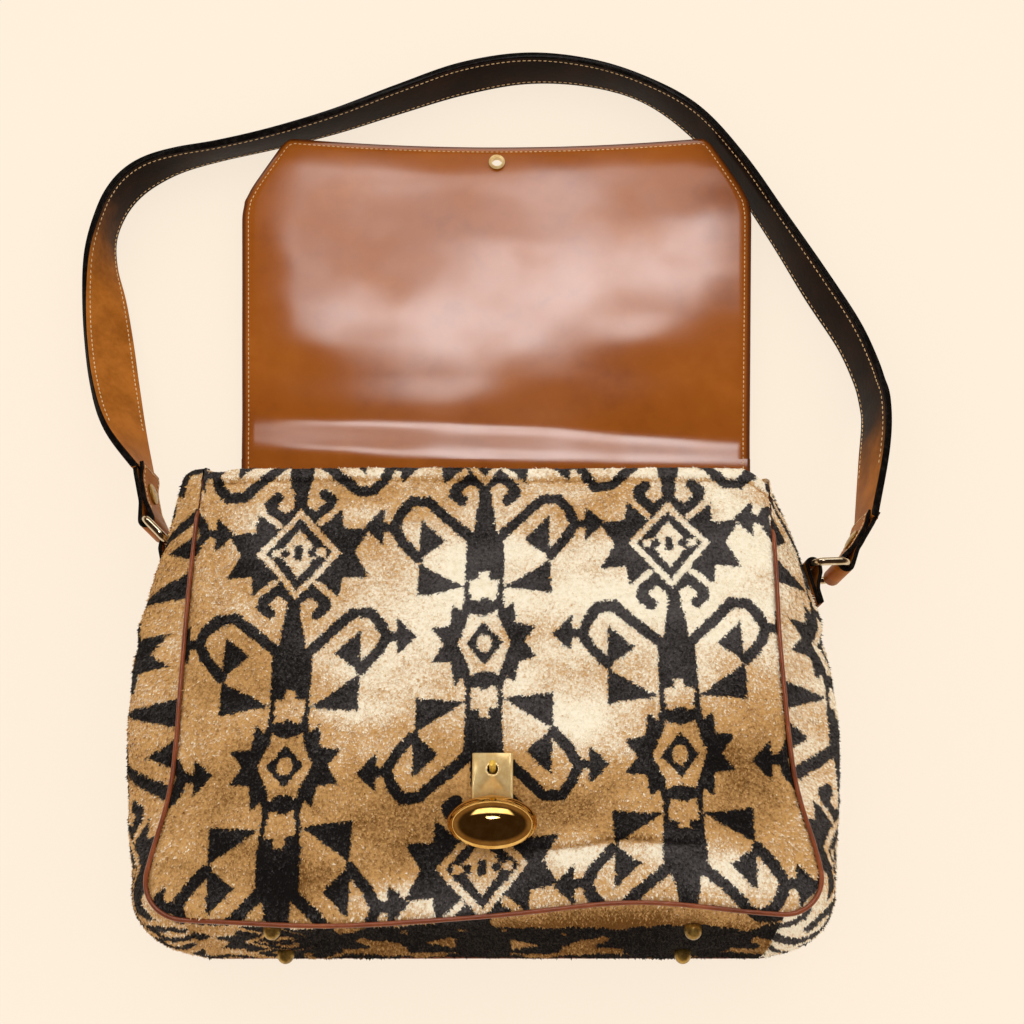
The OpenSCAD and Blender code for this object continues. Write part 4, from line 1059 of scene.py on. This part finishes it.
def liningCup():
    c, rings = lining, []
    levels = np.concatenate([c["start"][:-1], np.linspace(c["start"][-1], 1, c["rows"])])
    side, wide = np.linspace(0, 1, c["side"])[1:-1], np.linspace(-1, 1, c["across"])

    def edge(height, level):
        q = c["bottom"] + (height - c["below"] - c["bottom"]) * level
        return q, float(halfWidth(height, np.array(q), c["inset"]))

    def slack(level, cell, seed):
        soft = c["loose"] * ease(level * 8) * ease((1 - level) * 8)
        return soft * (1 + softNoise(wide * 150, wide * 0 + level * 230, cell, seed))

    for level in levels:
        (qf, xf), (qb, xb) = edge(bag["frontHeight"], level), edge(bag["backHeight"], level)
        front = frontPoint(wide * xf, qf, c["front"] + slack(level, 36, 91))
        front = front + np.stack([0 * wide, frontShift(wide * xf, qf), 0 * wide], -1)
        back = backPoint(wide[::-1] * xb, qb, c["back"] + slack(level, 33, 92))
        right = front[-1] + (back[0] - front[-1]) * side[:, None]
        left = back[-1] + (front[0] - back[-1]) * side[:, None]
        bow = (np.sin(math.pi * side) * c["bow"] * ease(level * 6))[:, None]
        rings.append(np.concatenate([front, right + bow * [1, 0, 0], back, left - bow * [1, 0, 0]]))
    grid = np.array(rings)
    lip = grid[-1] + (grid[-1] - grid[-1].mean(0)) * c["lip"] + [0, 0.4, 0]
    middle = grid[0].mean(0)
    floor = [middle + (grid[0] - middle) * t for t in c["floor"]]
    grid = np.concatenate([np.array(floor), grid, lip[None]])
    points = grid.reshape(-1, 3)
    made = makeMesh("liningCup", points, gridFaces(*grid.shape[:2], True), liningCloth)
    return settle(made, "lining", "bag", "lining")


frontPanel()
backPanel()
for side in (-1, 1):
    sideGusset(side)
baseGusset()
piping("pipingFront", "front_piping", bag["frontHeight"], frontPoint, True)
piping("pipingBack", "back_piping", bag["backHeight"], backPoint, False)
liningCup()
print("bag body ready")


# flap: one leather surface from the strip sewn to the back to the clipped far edge
flap = {
    "hingeY": 116.3, "hingeZ": 6.9, "rise": math.radians(3.8), "thick": 2.6, "sink": 0.3, "rootStart": -17.0,
    "length": 259.222, "dip": 7.0, "clip": 47.0, "root": 155.5, "shoulder": 167.5, "end": 140.0,
    "foldAt": 73.955, "strip": 145.6, "stripEnd": 4.5, "split": 40.0, "eyelet": 246.222, "eyeletHole": 4.2,
    "eyeletCell": 0.9, "shoulderRound": 1.6, "endRound": 6, "endRoundRun": 7, "roll": 1.0, "rollReach": 6.5,
    "edgeRound": 1.2, "stitchInset": 4.6, "stitchPitch": 3.2, "thread": (2.3, 0.8), "threadLift": 1.25,
    "backBend": 6, "foldBend": 8,
    # the soft bends that the leather keeps from its closed place
    "wave": 0.22, "dimple": 0.05, "streak": 0.07, "mouthBend": 1.5, "sideCurl": 0.6, "farCurl": 0.5,
}
flapLast = flap["length"] + flap["dip"]
flapShoulder = flapLast - flap["clip"]


def flapHalf(row):
    f = flap
    w = f["root"] + (f["shoulder"] - f["root"]) * np.clip(row / flapShoulder, 0, 1)
    w = w - (f["shoulder"] - f["end"]) * np.clip((row - flapShoulder) / f["clip"], 0, 1)
    w = w - f["shoulderRound"] * hump(row - flapShoulder, 7)
    t = np.clip((row - flapLast + f["endRoundRun"]) / f["endRoundRun"], 0, 1)
    w = w - f["endRound"] * (1 - np.sqrt(1 - t * t))
    strip = f["strip"] + (f["root"] - f["strip"]) * ease((row + f["stripEnd"]) / f["stripEnd"])
    return np.where(row < 0, strip, w)


def flapRow(x, row):
    far = np.clip((row - flapShoulder) / flap["clip"], 0, 1)
    return row - flap["dip"] * (1 - np.minimum(1, (x / flap["end"]) ** 2)) * far


def flapWave(x, y):
    f = flap
    wave = f["wave"] * softNoise(x, y, 85, 101) + f["dimple"] * softNoise(x, y, 26, 102)
    wave += f["streak"] * softNoise(x * 0.4, y, 22, 103)
    wave -= f["mouthBend"] * ease((y + 0.045 * x - 36) / 28)
    wave -= f["sideCurl"] * ease((np.abs(x) - 128) / 56) * ease((y - 90) / 70)
    wave -= f["farCurl"] * ease((y - 238 + 5 * lineNoise(x, 60, 104)) / 40)
    return wave * ease((y - 4) / 34)


def flapSurface(x, y):
    f = flap
    lift = flapWave(x, y) - f["thick"] / 2 - f["sink"]
    s, c = math.sin(f["rise"]), math.cos(f["rise"])
    bend, level = np.where(y > 0, y, 0), np.where(y > 0, 0, y)
    return np.stack([
        x + bag["closure"], f["hingeY"] + level + bend * c - lift * s * (y > 0),
        f["hingeZ"] + bend * s + lift * np.where(y > 0, c, 1)], -1)


def flapNormal(x, y, e=0.5):
    du = flapSurface(x + e, y) - flapSurface(x - e, y)
    dv = flapSurface(x, y + e) - flapSurface(x, y - e)
    return unit(np.cross(du, dv))


# columns lie closer together at the edges and round the eyelet
def flapMesh(name, rows, replaced, root):
    f = flap
    inner = np.concatenate([np.linspace(-1, 1, 151), np.arange(-9, 9.1, f["eyeletCell"]) / 150])
    edge = np.array([0.002, 0.005, 0.009, 0.015, 0.022, 0.03])
    u = np.unique(np.round(np.concatenate([inner, -1 + edge, 1 - edge]), 6))
    half = flapHalf(rows)[:, None]
    x = u[None] * half
    y = flapRow(x, rows[:, None] + 0 * x)
    middle, normal = flapSurface(x, y), flapNormal(x, y)
    away = (1 - np.abs(u))[None] * half
    if root:
        away = np.minimum(away, (rows - rows[0])[:, None])
    else:
        away = np.minimum(away, (rows[-1] - rows)[:, None])
        middle = middle - normal * (f["roll"] * np.clip(1 - away / f["rollReach"], 0, 1) ** 2)[..., None]
    near = np.clip(1 - away / f["edgeRound"], 0, 1)
    up = normal * (f["thick"] / 2 * np.sqrt(np.clip(1 - near ** 2, 0, 1)))[..., None]
    grid = np.concatenate([middle + up, (middle - up)[:, -2:0:-1]], 1)
    x, y, away = (np.concatenate([part, part[:, -2:0:-1]], 1) for part in (x, y, away))
    faces = gridFaces(*grid.shape[:2], True)
    hole = np.hypot(x.ravel()[faces].mean(1), y.ravel()[faces].mean(1) - f["eyelet"]) <= f["eyeletHole"]
    fields = {"weave": np.stack([x, y, 0 * x], -1).reshape(-1, 3) * mm, "rim": away.ravel()}
    made = makeMesh(name, grid.reshape(-1, 3), faces[~hole], flapLeather, fields)
    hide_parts(*replaced)
    return made


rootRows = np.concatenate([
    flap["rootStart"] + np.array([0, 0.35, 1.0]), np.linspace(-15, -1, 8), np.linspace(0, flap["split"], 34)])
farRows = np.concatenate([
    np.linspace(flap["split"], 237, 140), np.arange(238, 259.5, flap["eyeletCell"]),
    flapLast - np.array([6, 5, 4, 3.2, 2.4, 1.6, 0.9, 0.4, 0.1, 0.0])])
farNodes = ["flap_top_outer", "flap_top_inner", "flap_front_outer", "flap_front_inner"]
flapBack = flapMesh("flapBack", rootRows, ["flap_root"], True)
flapFar = flapMesh("flapFar", farRows, farNodes, False)


def flapStitchLine():
    rows = np.concatenate([np.linspace(2, flapShoulder, 60), np.linspace(flapShoulder, flapLast, 40)[1:]])
    right = np.stack([flapHalf(rows), flapRow(flapHalf(rows), rows)], -1)
    x = np.linspace(right[-1, 0], -right[-1, 0], 60)[1:-1]
    far = np.stack([x, flapRow(x, np.full(x.shape, flapLast))], -1)
    line = np.concatenate([right, far, right[::-1] * [-1, 1]])
    ahead = unit(np.gradient(line, axis=0))
    line = line + np.stack([-ahead[:, 1], ahead[:, 0]], -1) * flap["stitchInset"]
    return resample(line, step=flap["stitchPitch"])


def flapStitches():
    f, line = flap, flapStitchLine()
    x, y = line.T
    dx, dy = np.gradient(line, axis=0).T * 0.2
    normal = flapNormal(x, y)
    spots = flapSurface(x, y) - normal * f["roll"] * (1 - f["stitchInset"] / f["rollReach"]) ** 2
    forward = flapSurface(x + dx, y + dy) - flapSurface(x, y)
    made = []
    for name, keep in (("stitchBack", y < f["split"]), ("stitchFar", y >= f["split"])):
        up = np.concatenate([normal[keep], -normal[keep]])
        both, along = np.tile(spots[keep], (2, 1)) + up * f["threadLift"], np.tile(forward[keep], (2, 1))
        made.append(repeated(name, "thread", both, along, up, *f["thread"], threadLook))
    return made


backThreads, farThreads = flapStitches()
for piece in (flapBack, backThreads):
    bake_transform(piece)
for piece in (flapFar, farThreads):
    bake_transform(piece)
print("flap ready")


# rings, their tabs and the strap's folded ends, at the places the part gives them
carry = {
    "lean": math.radians(5), "wire": 2.3, "innerWidth": 33.0, "reach": 19.1, "bend": 5.0, "place": 0.55,
    -1: {"tab": (-182.458, 89.2216, 34.5822), "swing": 45.0, "turn": 15.0, "drop": 28.0},
    1: {"tab": (186.505, 75.0093, 34.9575), "swing": 3.0, "turn": 33.0, "drop": 42.0},
    "loopBore": 2.6, "loopLeather": 2.5, "loopClear": 0.04, "loopRun": 12.0, "endWidth": 29.0,
    # endGlow and tabGlow are the painted light on the folded ends and the tabs
    "endLength": 34.0, "endGap": 0.3, "tip": 37.0, "endGlow": 0.85, "endStitch": 2.6, "tipStitch": 2.4,
    "tipThreads": 7, "tabLeather": 2.2, "tabWidth": 27.0, "tabLength": 23.0, "tabGlow": 0.8,
}


def barDir(side):
    return np.array([side * math.sin(carry["lean"]), 0, math.cos(carry["lean"])])


def swung(side, degrees):
    a = math.radians(degrees)
    level = np.array([side * math.cos(carry["lean"]), 0, -math.sin(carry["lean"])])
    return level * math.cos(a) + np.array([0, 1.0, 0]) * math.sin(a)


def outerBar(side):
    return np.array(carry[side]["tab"]) + swung(side, carry[side]["swing"]) * carry["reach"]


def endDir(side):
    return swung(side, 90 - carry[side]["turn"])


def roundRing(side):
    c = carry
    arm, bar = swung(side, c[side]["swing"]), barDir(side)
    w, b, r = (c["innerWidth"] / 2 + c["wire"]), c["bend"], c["reach"]
    a = np.linspace(0, math.pi / 2, 13)
    corner = np.stack([np.sin(a), 1 - np.cos(a)], -1) * b
    turned = np.stack([corner[:, 1], -corner[:, 0]], -1)
    flat = np.concatenate([corner + [r - b, -w], -turned + [r, w - b], -corner + [b, w], turned + [0, b - w]])
    middle = np.array(c[side]["tab"]) + flat[:, :1] * arm + flat[:, 1:] * bar
    ahead = unit(np.roll(middle, -1, 0) - np.roll(middle, 1, 0))
    across = np.cross(bar, arm)
    out = np.cross(across, ahead)
    points, faces = sweep(middle, out, np.tile(across, (len(middle), 1)), circle(c["wire"], 24), True)
    made = makeMesh("ring" + sideName[side], points, faces, ringMetal)
    return settle(made, "ring_metal", "bag", sideName[side].lower() + "_ring")


# a leather ribbon along a line, with the fields that its dye and its cut edges follow
def ribbon(middle, wide, width, thick, glow):
    ahead = unit(np.gradient(middle, axis=0))
    wide = np.broadcast_to(wide, middle.shape)
    section = roundedBar(width, thick, 0.6)
    points, faces = sweep(middle, wide, unit(np.cross(ahead, wide)), section)
    along = runLength(middle)
    return points, faces, ribbonFields(section, along, np.broadcast_to(glow, along.shape), width)


def ribbonFields(section, along, glow, width):
    rows, columns = len(along), len(section)
    cut = (np.abs(section[:, 0]) > width / 2 - 0.5).astype(float)
    weave = np.stack([
        np.repeat(along, columns), np.tile(section[:, 0], rows), np.tile(section[:, 1], rows)], -1) * mm
    return {"weave": weave, "edge": np.tile(cut, rows), "glow": np.repeat(glow, columns)}


def ringTab(side):
    c = carry
    bar, foot = barDir(side), np.array(c[side]["tab"])
    seam = sidePoint(bag["frontHeight"], np.array([0.0, 1.0]), 0.0)
    k = np.array([c[side]["drop"] * math.cos(tilt) / np.linalg.norm(seam[1] - seam[0])])
    s = np.array([c["place"]])
    down = (gussetPoint(k + 0.12, s, 0.0) - gussetPoint(k, s, 0.0))[0] * [side, 1, 1]
    down = unit(down - bar * (down @ bar))
    out = side * np.cross(bar, down)
    t, length = c["tabLeather"], c["tabLength"]
    r = c["loopBore"] + t / 2
    a = np.linspace(math.pi, 2 * math.pi, 16)
    loop = np.stack([np.cos(a) * r, np.sin(a) * r], -1)
    inner = np.stack([np.full(12, -r), np.linspace(length, 1, 12)], -1)
    back = np.array([[r, 1.5], [r - 0.6, 5], [t - r + 1.2, 11], [t - r, 14.5]])
    outer = np.stack([np.full(8, t - r), np.linspace(15, length - 0.6, 8)], -1)
    flat = softened(resample(np.concatenate([inner, loop, back, outer]), step=0.9), 1)
    middle = foot + flat[:, :1] * out + flat[:, 1:] * down
    points, faces, fields = ribbon(middle, bar, c["tabWidth"], t, c["tabGlow"])
    made = makeMesh("tab" + sideName[side], points, faces, strapLeather, fields)
    return settle(made, "strap_leather", "bag", sideName[side].lower() + "_ring_tab")


# strap: lies on its edge round the flap, its folded ends held on the rings by rivets
strap = {
    "width": 32.0, "thick": 4.6, "round": 0.9, "step": 2.4, "stitchInset": 3.2, "pitch": 3.6, "plainEnds": 10,
    # leftGlow and rightGlow set the painted light towards the strap's ends
    "thread": (2.6, 0.85), "leftGlow": (1.0, 235, 120), "rightGlow": (0.8, 95, 80),
    # stations of the lower edge as x, y, height and lean
    "route": [
        (-220, 166.5, 17, 56), (-231, 199, 11, 42), (-239.5, 232, 4.8, 40), (-246, 263.5, 1, 51),
        (-250.5, 290.5, 0.5, 70), (-250.5, 314, 0.4, 84), (-246, 333, 0.4, 87), (-237.5, 348, 0.4, 89),
        (-225, 359, 0.4, 93), (-206, 368, 0.4, 101), (-179, 375.5, 0.4, 107), (-144, 385, 0.4, 106),
        (-103.5, 398.5, 0.4, 102), (-61.5, 416, 0.4, 96), (-19, 432.5, 0.4, 91), (24.5, 441, 0.4, 94),
        (67, 437.5, 0.4, 99), (104.5, 424, 0.4, 101), (138, 398.4, 0.4, 91), (165, 360.6, 0.4, 88),
        (188.8, 316.2, 0.4, 86), (210.5, 273, 0.4, 80), (228, 238.5, 0.4, 81), (236.5, 213.5, 0.6, 81),
        (239, 196.5, 2.6, 80), (238.5, 179, 8, 77), (233.5, 150, 13.5, 75)],
}


def strapHigh(lean):
    return (strap["width"] * np.sin(lean) + strap["thick"] * np.abs(np.cos(lean))) / 2


def strapLine():
    lean = math.pi / 2 - carry["lean"]
    ends = []
    for side in (-1, 1):
        p = outerBar(side) + endDir(side) * (carry["endLength"] + carry["endGap"])
        ends.append((p[0], p[1], p[2] - strapHigh(lean), math.degrees(lean)))
    knots = np.array([ends[0]] + strap["route"] + [ends[1]])
    knots = np.concatenate([[2 * knots[0] - knots[1]], knots, [2 * knots[-1] - knots[-2]]])
    rows = []
    t = np.linspace(0, 1, 13)[:-1, None]
    for i in range(1, len(knots) - 2):
        a, b, c, d = knots[i - 1:i + 3]
        curve = 2 * b + (c - a) * t + (2 * a - 5 * b + 4 * c - d) * t ** 2 + (3 * b - a - 3 * c + d) * t ** 3
        rows.append(0.5 * curve)
    rows = np.concatenate(rows + [knots[-2:-1]])
    lean = np.radians(rows[:, 3])
    middle = np.stack([rows[:, 0], rows[:, 1], rows[:, 2] + strapHigh(lean)], -1)
    flat = resample(np.concatenate([middle, lean[:, None]], 1), step=strap["step"])
    return flat[:, :3], flat[:, 3]


def strapFrames(middle, lean):
    ahead = unit(np.gradient(middle, axis=0))
    ahead[0], ahead[-1] = endDir(-1), -endDir(1)
    outward = unit(np.stack([-ahead[:, 1], ahead[:, 0], 0 * lean], -1))
    wide = outward * np.cos(lean)[:, None] + np.array([0, 0, 1.0]) * np.sin(lean)[:, None]
    wide = unit(wide - ahead * (wide * ahead).sum(-1, keepdims=True))
    return ahead, wide, np.cross(ahead, wide)


# the strap's outer layer goes on round the ring and comes back along the inner face to its cut tip
def foldedLine():
    c = carry
    r, h = c["loopBore"] + c["loopLeather"] / 2, c["loopLeather"] / 2 + c["loopClear"]
    reach, end = c["loopRun"], c["endLength"]
    start = math.atan2(h, reach) + math.acos(r / math.hypot(reach, h))
    a = np.linspace(start, 2 * math.pi - start, 30)
    loop = np.stack([np.cos(a), np.sin(a)], -1) * r
    out = np.array([(end + 5, 0.95), (end + 1, 0.98), (end - 3, h), (20, h), (reach, h)])
    back = np.array([(reach, -h), (18, -h), (25, -h), (29, -h - 0.5), (33, -h - 1.9), (c["tip"], -h - 2.15)])
    return softened(resample(np.concatenate([out, loop, back]), step=0.8), 3)


def foldedEnd(side):
    c, flat = carry, foldedLine()
    along, bar = endDir(side), barDir(side)
    outward = -side * np.cross(bar, along)
    middle = outerBar(side) + flat[:, :1] * along + flat[:, 1:] * outward
    legs = flat[np.argmin(flat[:, 0]):]
    leg = resample(legs[legs[:, 0] > 7], step=strap["pitch"] * 0.8)
    face = outerBar(side) + leg[:, :1] * along + (leg[:, 1:] - c["loopLeather"] / 2) * outward
    off = c["endWidth"] / 2 - c["endStitch"]
    last = face[-1] - along * c["tipStitch"]
    row = last + bar * np.linspace(-off, off, c["tipThreads"] + 2)[1:-1, None]
    points = np.concatenate([face[:-1] + bar * off, face[:-1] - bar * off, row])
    heading = np.concatenate([np.tile(along, (2 * len(face) - 2, 1)), np.tile(bar, (len(row), 1))])
    threads = (points, heading, np.tile(-outward, (len(points), 1)))
    return ribbon(middle, bar, c["endWidth"], c["loopLeather"], c["endGlow"]), threads


# painted light: the strap is painted lit to gold towards both ends, as strength, where it starts and over
# what length
def strapGlow(run):
    (left, leftAt, leftReach), (right, rightAt, rightReach) = strap["leftGlow"], strap["rightGlow"]
    return left * ease((leftAt - run) / leftReach) + right * ease((run - run[-1] + rightAt) / rightReach)


strapMiddle, strapLean = strapLine()
strapAhead, strapWide, strapThick = strapFrames(strapMiddle, strapLean)
strapRun = runLength(strapMiddle)
section = roundedBar(strap["width"], strap["thick"], strap["round"])
body = sweep(strapMiddle, strapWide, strapThick, section)
folded, foldedThreads = zip(*(foldedEnd(side) for side in (-1, 1)))
points, faces = joined([body] + [end[:2] for end in folded])
fields = [ribbonFields(section, strapRun, strapGlow(strapRun), strap["width"])] + [end[2] for end in folded]
fields = {key: np.concatenate([part[key] for part in fields]) for key in fields[0]}
strapPiece = makeMesh("shoulderStrap", points, faces, strapLeather, fields)
settle(strapPiece, "strap_leather", "bag", "strap", "left_strap_end", "right_strap_end")


def strapStitches():
    frames = np.concatenate([strapMiddle, strapWide, strapThick, strapAhead], 1)
    spots = resample(frames, count=int(strapRun[-1] / strap["pitch"]))[strap["plainEnds"]:-strap["plainEnds"]]
    middle, wide, thick, forward = spots[:, :3], unit(spots[:, 3:6]), unit(spots[:, 6:9]), unit(spots[:, 9:])
    off, high = strap["width"] / 2 - strap["stitchInset"], strap["thick"] / 2
    corners = [(i, j) for i in (-1, 1) for j in (-1, 1)]
    rows = [(middle + wide * off * i + thick * high * j, forward, thick * j) for i, j in corners]
    points, along, up = (np.concatenate(part) for part in zip(*rows, *foldedThreads))
    made = repeated("strapStitches", "thread", points, along, up, *strap["thread"], threadLook)
    return settle(made, "strap_leather", "bag")


strapThreads = strapStitches()
for side in (-1, 1):
    roundRing(side)
    ringTab(side)


# metal pieces: the part's own shapes with their curved faces shaded smooth
def polished(name, node, body, slot, material, angle=32):
    data = nodes[node].data.copy()
    work = bmesh.new()
    work.from_mesh(data)
    bmesh.ops.remove_doubles(work, verts=work.verts, dist=2e-6)
    work.to_mesh(data)
    work.free()
    data.polygons.foreach_set("use_smooth", np.full(len(data.polygons), True))
    data.set_sharp_from_angle(angle=math.radians(angle))
    data.materials.clear()
    data.materials.append(material)
    return settle(showMesh(name, data), slot, body, node)


strapRivets = polished("strapRivets", "strap_rivets", "bag", "brass", agedBrass)
polished("baseFeet", "feet", "bag", "brass", agedBrass)
polished("footWashers", "foot_washers", "bag", "brass", agedBrass)
polished("lockPlate", "lock_plate", "bag", "brass", satinBrass)
polished("lockBackplate", "lock_backplate", "bag", "latch_steel", steel)
polished("latchPivot", "latch_pivot", "bag", "latch_steel", steel)
polished("latchLever", "latch_lever", "latch", "latch_steel", satinBrass)
polished("catchPin", "catch_pin", "latch", "brass", pinBrass)
polished("flapEyelet", "eyelet", "flap_front", "brass", satinBrass)
polished("eyeletWasher", "eyelet_washer", "flap_front", "brass", satinBrass)
board = nodes["base_board"]
board.data.materials.clear()
board.data.materials.append(boardLook)


# the oval dome on the latch: an egg turned about its long axis and cut flat below
dome = {
    "length": 47.0, "width": 30.0, "height": 11.0, "lift": 3.1, "gap": 0.8, "reach": 13.0, "pivot": 2.2,
    "open": 14.0, "rings": 40, "spokes": 96, "under": (0.985, 0.5),
}


def latchDome():
    d, count = dome, dome["spokes"]
    radius, sink = d["width"] / 2, d["width"] / 2 - d["height"]
    edge = math.sqrt(radius ** 2 - sink ** 2)
    longEdge = d["length"] / 2 * math.sqrt(1 - (sink / radius) ** 2)
    ring = np.sin(np.linspace(0, math.pi / 2, d["rings"])[1:])
    spoke = np.arange(count)
    a = spoke * 2 * math.pi / count
    x, y = longEdge * ring[:, None] * np.cos(a), edge * ring[:, None] * np.sin(a)
    z = np.sqrt(np.maximum(radius ** 2 * (1 - (2 * x / d["length"]) ** 2) - y ** 2, sink ** 2))
    under = [np.stack([x[-1] * t, y[-1] * t, np.full(count, sink)], -1) for t in d["under"]]
    grid = np.concatenate([np.stack([x, y, z], -1), np.array(under)])
    points = np.concatenate([[[0, 0, radius]], grid.reshape(-1, 3), [[0, 0, sink]]])
    turn = (spoke + 1) % count
    cap = np.stack([0 * spoke, 1 + spoke, 1 + turn], -1)
    last = 1 + (len(grid) - 1) * count
    base = np.stack([np.full(count, last + count), last + turn, last + spoke], -1)
    points = points + [0, -d["gap"] - edge, d["lift"] - sink]
    c, s = math.cos(math.radians(d["open"])), math.sin(math.radians(d["open"]))
    y, z = points[:, 1] * c + points[:, 2] * s - d["reach"], points[:, 2] * c - points[:, 1] * s + d["pivot"]
    points = frontPoint(points[:, 0] + bag["closure"], bag["claspHeight"] + y, -z)
    faces = gridFaces(len(grid), count, True)[:, ::-1] + 1
    made = makeMesh("latchDome", points, [faces, cap, base], mirrorBrass)
    made.data.set_sharp_from_angle(angle=math.radians(40))
    return settle(made, "brass", "latch", "latch_dome")


latchDome()
print("metal ready")

print("strap ready")


# floor, light and camera
studio = {
    "floor": rgb(255, 241, 222), "sky": rgb(255, 246, 234), "low": rgb(205, 196, 186), "dim": rgb(52, 40, 32),
    "wall": rgb(128, 104, 80), "lamp": (2.2, 2.1, 2.0, 1.0), "window": (11.5, 11.0, 11.0, 1.0),
    # the window's edges in the direction of the ray, from where it is dark to where it is bright
    "windowNear": (0.305, 0.345), "windowFar": (0.46, 0.56), "windowLeft": (-0.22, -0.12),
    "windowRight": (0.19, 0.28), "windowMiddle": -0.055, "windowBow": (3.8, 9.7), "windowTop": 1.3,
    "windowLip": (0.345, 0.4), "warp": (0.07, 0.06), "streak": (0.4, 0.6),
    "lampNear": (0.8, 1.0), "lampFar": (1.7, 2.2), "lampSide": (0.7, 1.0), "horizon": (0.2, 0.45),
    "skyPower": 1.16, "flatFloor": 0.85, "floorSize": 8, "floorBelow": 0.0004,
    "lens": 49.22, "sensor": 36, "eye": (0.015, -0.171, 0.812), "tilt": math.radians(20),
}


def floorMaterial():
    material, shader, start = paint("floorLook", {"Roughness": 0.9, "Specular IOR Level": 0.1})
    shader.inputs["Base Color"].default_value = studio["floor"]
    glow = start.add("ShaderNodeEmission", {"Color": studio["floor"], "Strength": 1.0})
    seen = start.ray("Camera")
    for kind in ("Glossy", "Transmission"):
        seen = seen.sum("MAXIMUM", seen, start.ray(kind))
    lit = Wire(material.node_tree, shader.outputs[0])
    mixed = start.add("ShaderNodeMixShader", {0: seen * studio["flatFloor"], 1: lit, 2: glow})
    plug(material.node_tree.nodes["Material Output"], mixed, "Surface")
    return material


bpy.ops.mesh.primitive_plane_add(size=studio["floorSize"], location=(0, 0, -studio["floorBelow"]))
floor = bpy.context.object
floor.name = "floor"
floor.data.materials.append(floorMaterial())


# one wide soft window with a bowed lower edge, and a lamp behind it, in a dim room
def roomColour(ray):
    s = studio
    high = ray.sum("MAXIMUM", ray.part("Z"), 0.05)
    across, ahead = ray.part("X") / high, ray.part("Y") / high
    warp = ray.add("ShaderNodeCombineXYZ", {0: across * 9, 1: ahead * 13}).noise(1.0, 2, 0.5) - 0.5
    across, ahead = across + warp * s["warp"][0], ahead + warp * s["warp"][1]
    offset = across - s["windowMiddle"]
    lower = ahead - offset * offset * (s["windowBow"][0] - offset * s["windowBow"][1])
    upper = ahead + offset * offset * s["windowTop"]
    streaks = ray.add("ShaderNodeCombineXYZ", {0: across * 5, 1: ahead * 19}).noise(1.0, 2, 0.5)
    window = (1 - upper.step(*s["windowFar"])) * lower.step(*s["windowNear"])
    window = window * across.step(*s["windowLeft"]) * (1 - across.step(*s["windowRight"]))
    window = window * (streaks.step(*s["streak"]) * 0.7 + (1 - lower.step(*s["windowLip"])) * 0.5 + 0.25)
    lamp = ahead.step(*s["lampNear"]) * (1 - ahead.step(*s["lampFar"]))
    lamp = lamp * (1 - abs(across).step(*s["lampSide"]))
    room = (1 - high.step(*s["horizon"])).blend(s["dim"], s["wall"])
    return window.blend(lamp.blend(room, s["lamp"]), s["window"])


# a pale sky lights the bag, what shines sees the room, and the camera sees the floor's own colour
world = bpy.data.worlds.new("studio")
bpy.context.scene.world = world
world.use_nodes = True
sky = world.node_tree.nodes["Background"]
start = Wire(world.node_tree)
ray = start.add("ShaderNodeTexCoord", output="Generated")
light = ray.part("Y").step(-1.0, 0.2).blend(studio["low"], studio["sky"])
light = start.ray("Glossy").blend(light, roomColour(ray))
light = start.ray("Camera").blend(light, dimmed(studio["floor"], 1 / studio["skyPower"]))
plug(sky, light, "Color")
sky.inputs["Strength"].default_value = studio["skyPower"]

camera = bpy.data.objects.new("camera", bpy.data.cameras.new("camera"))
camera.data.lens, camera.data.sensor_width = studio["lens"], studio["sensor"]
camera.location = studio["eye"]
camera.rotation_euler = (studio["tilt"], 0, 0)
camera.data.clip_start = 0.01
bpy.context.scene.collection.objects.link(camera)
bpy.context.scene.camera = camera
bpy.context.scene.view_settings.view_transform = "Standard"
print("stage ready")
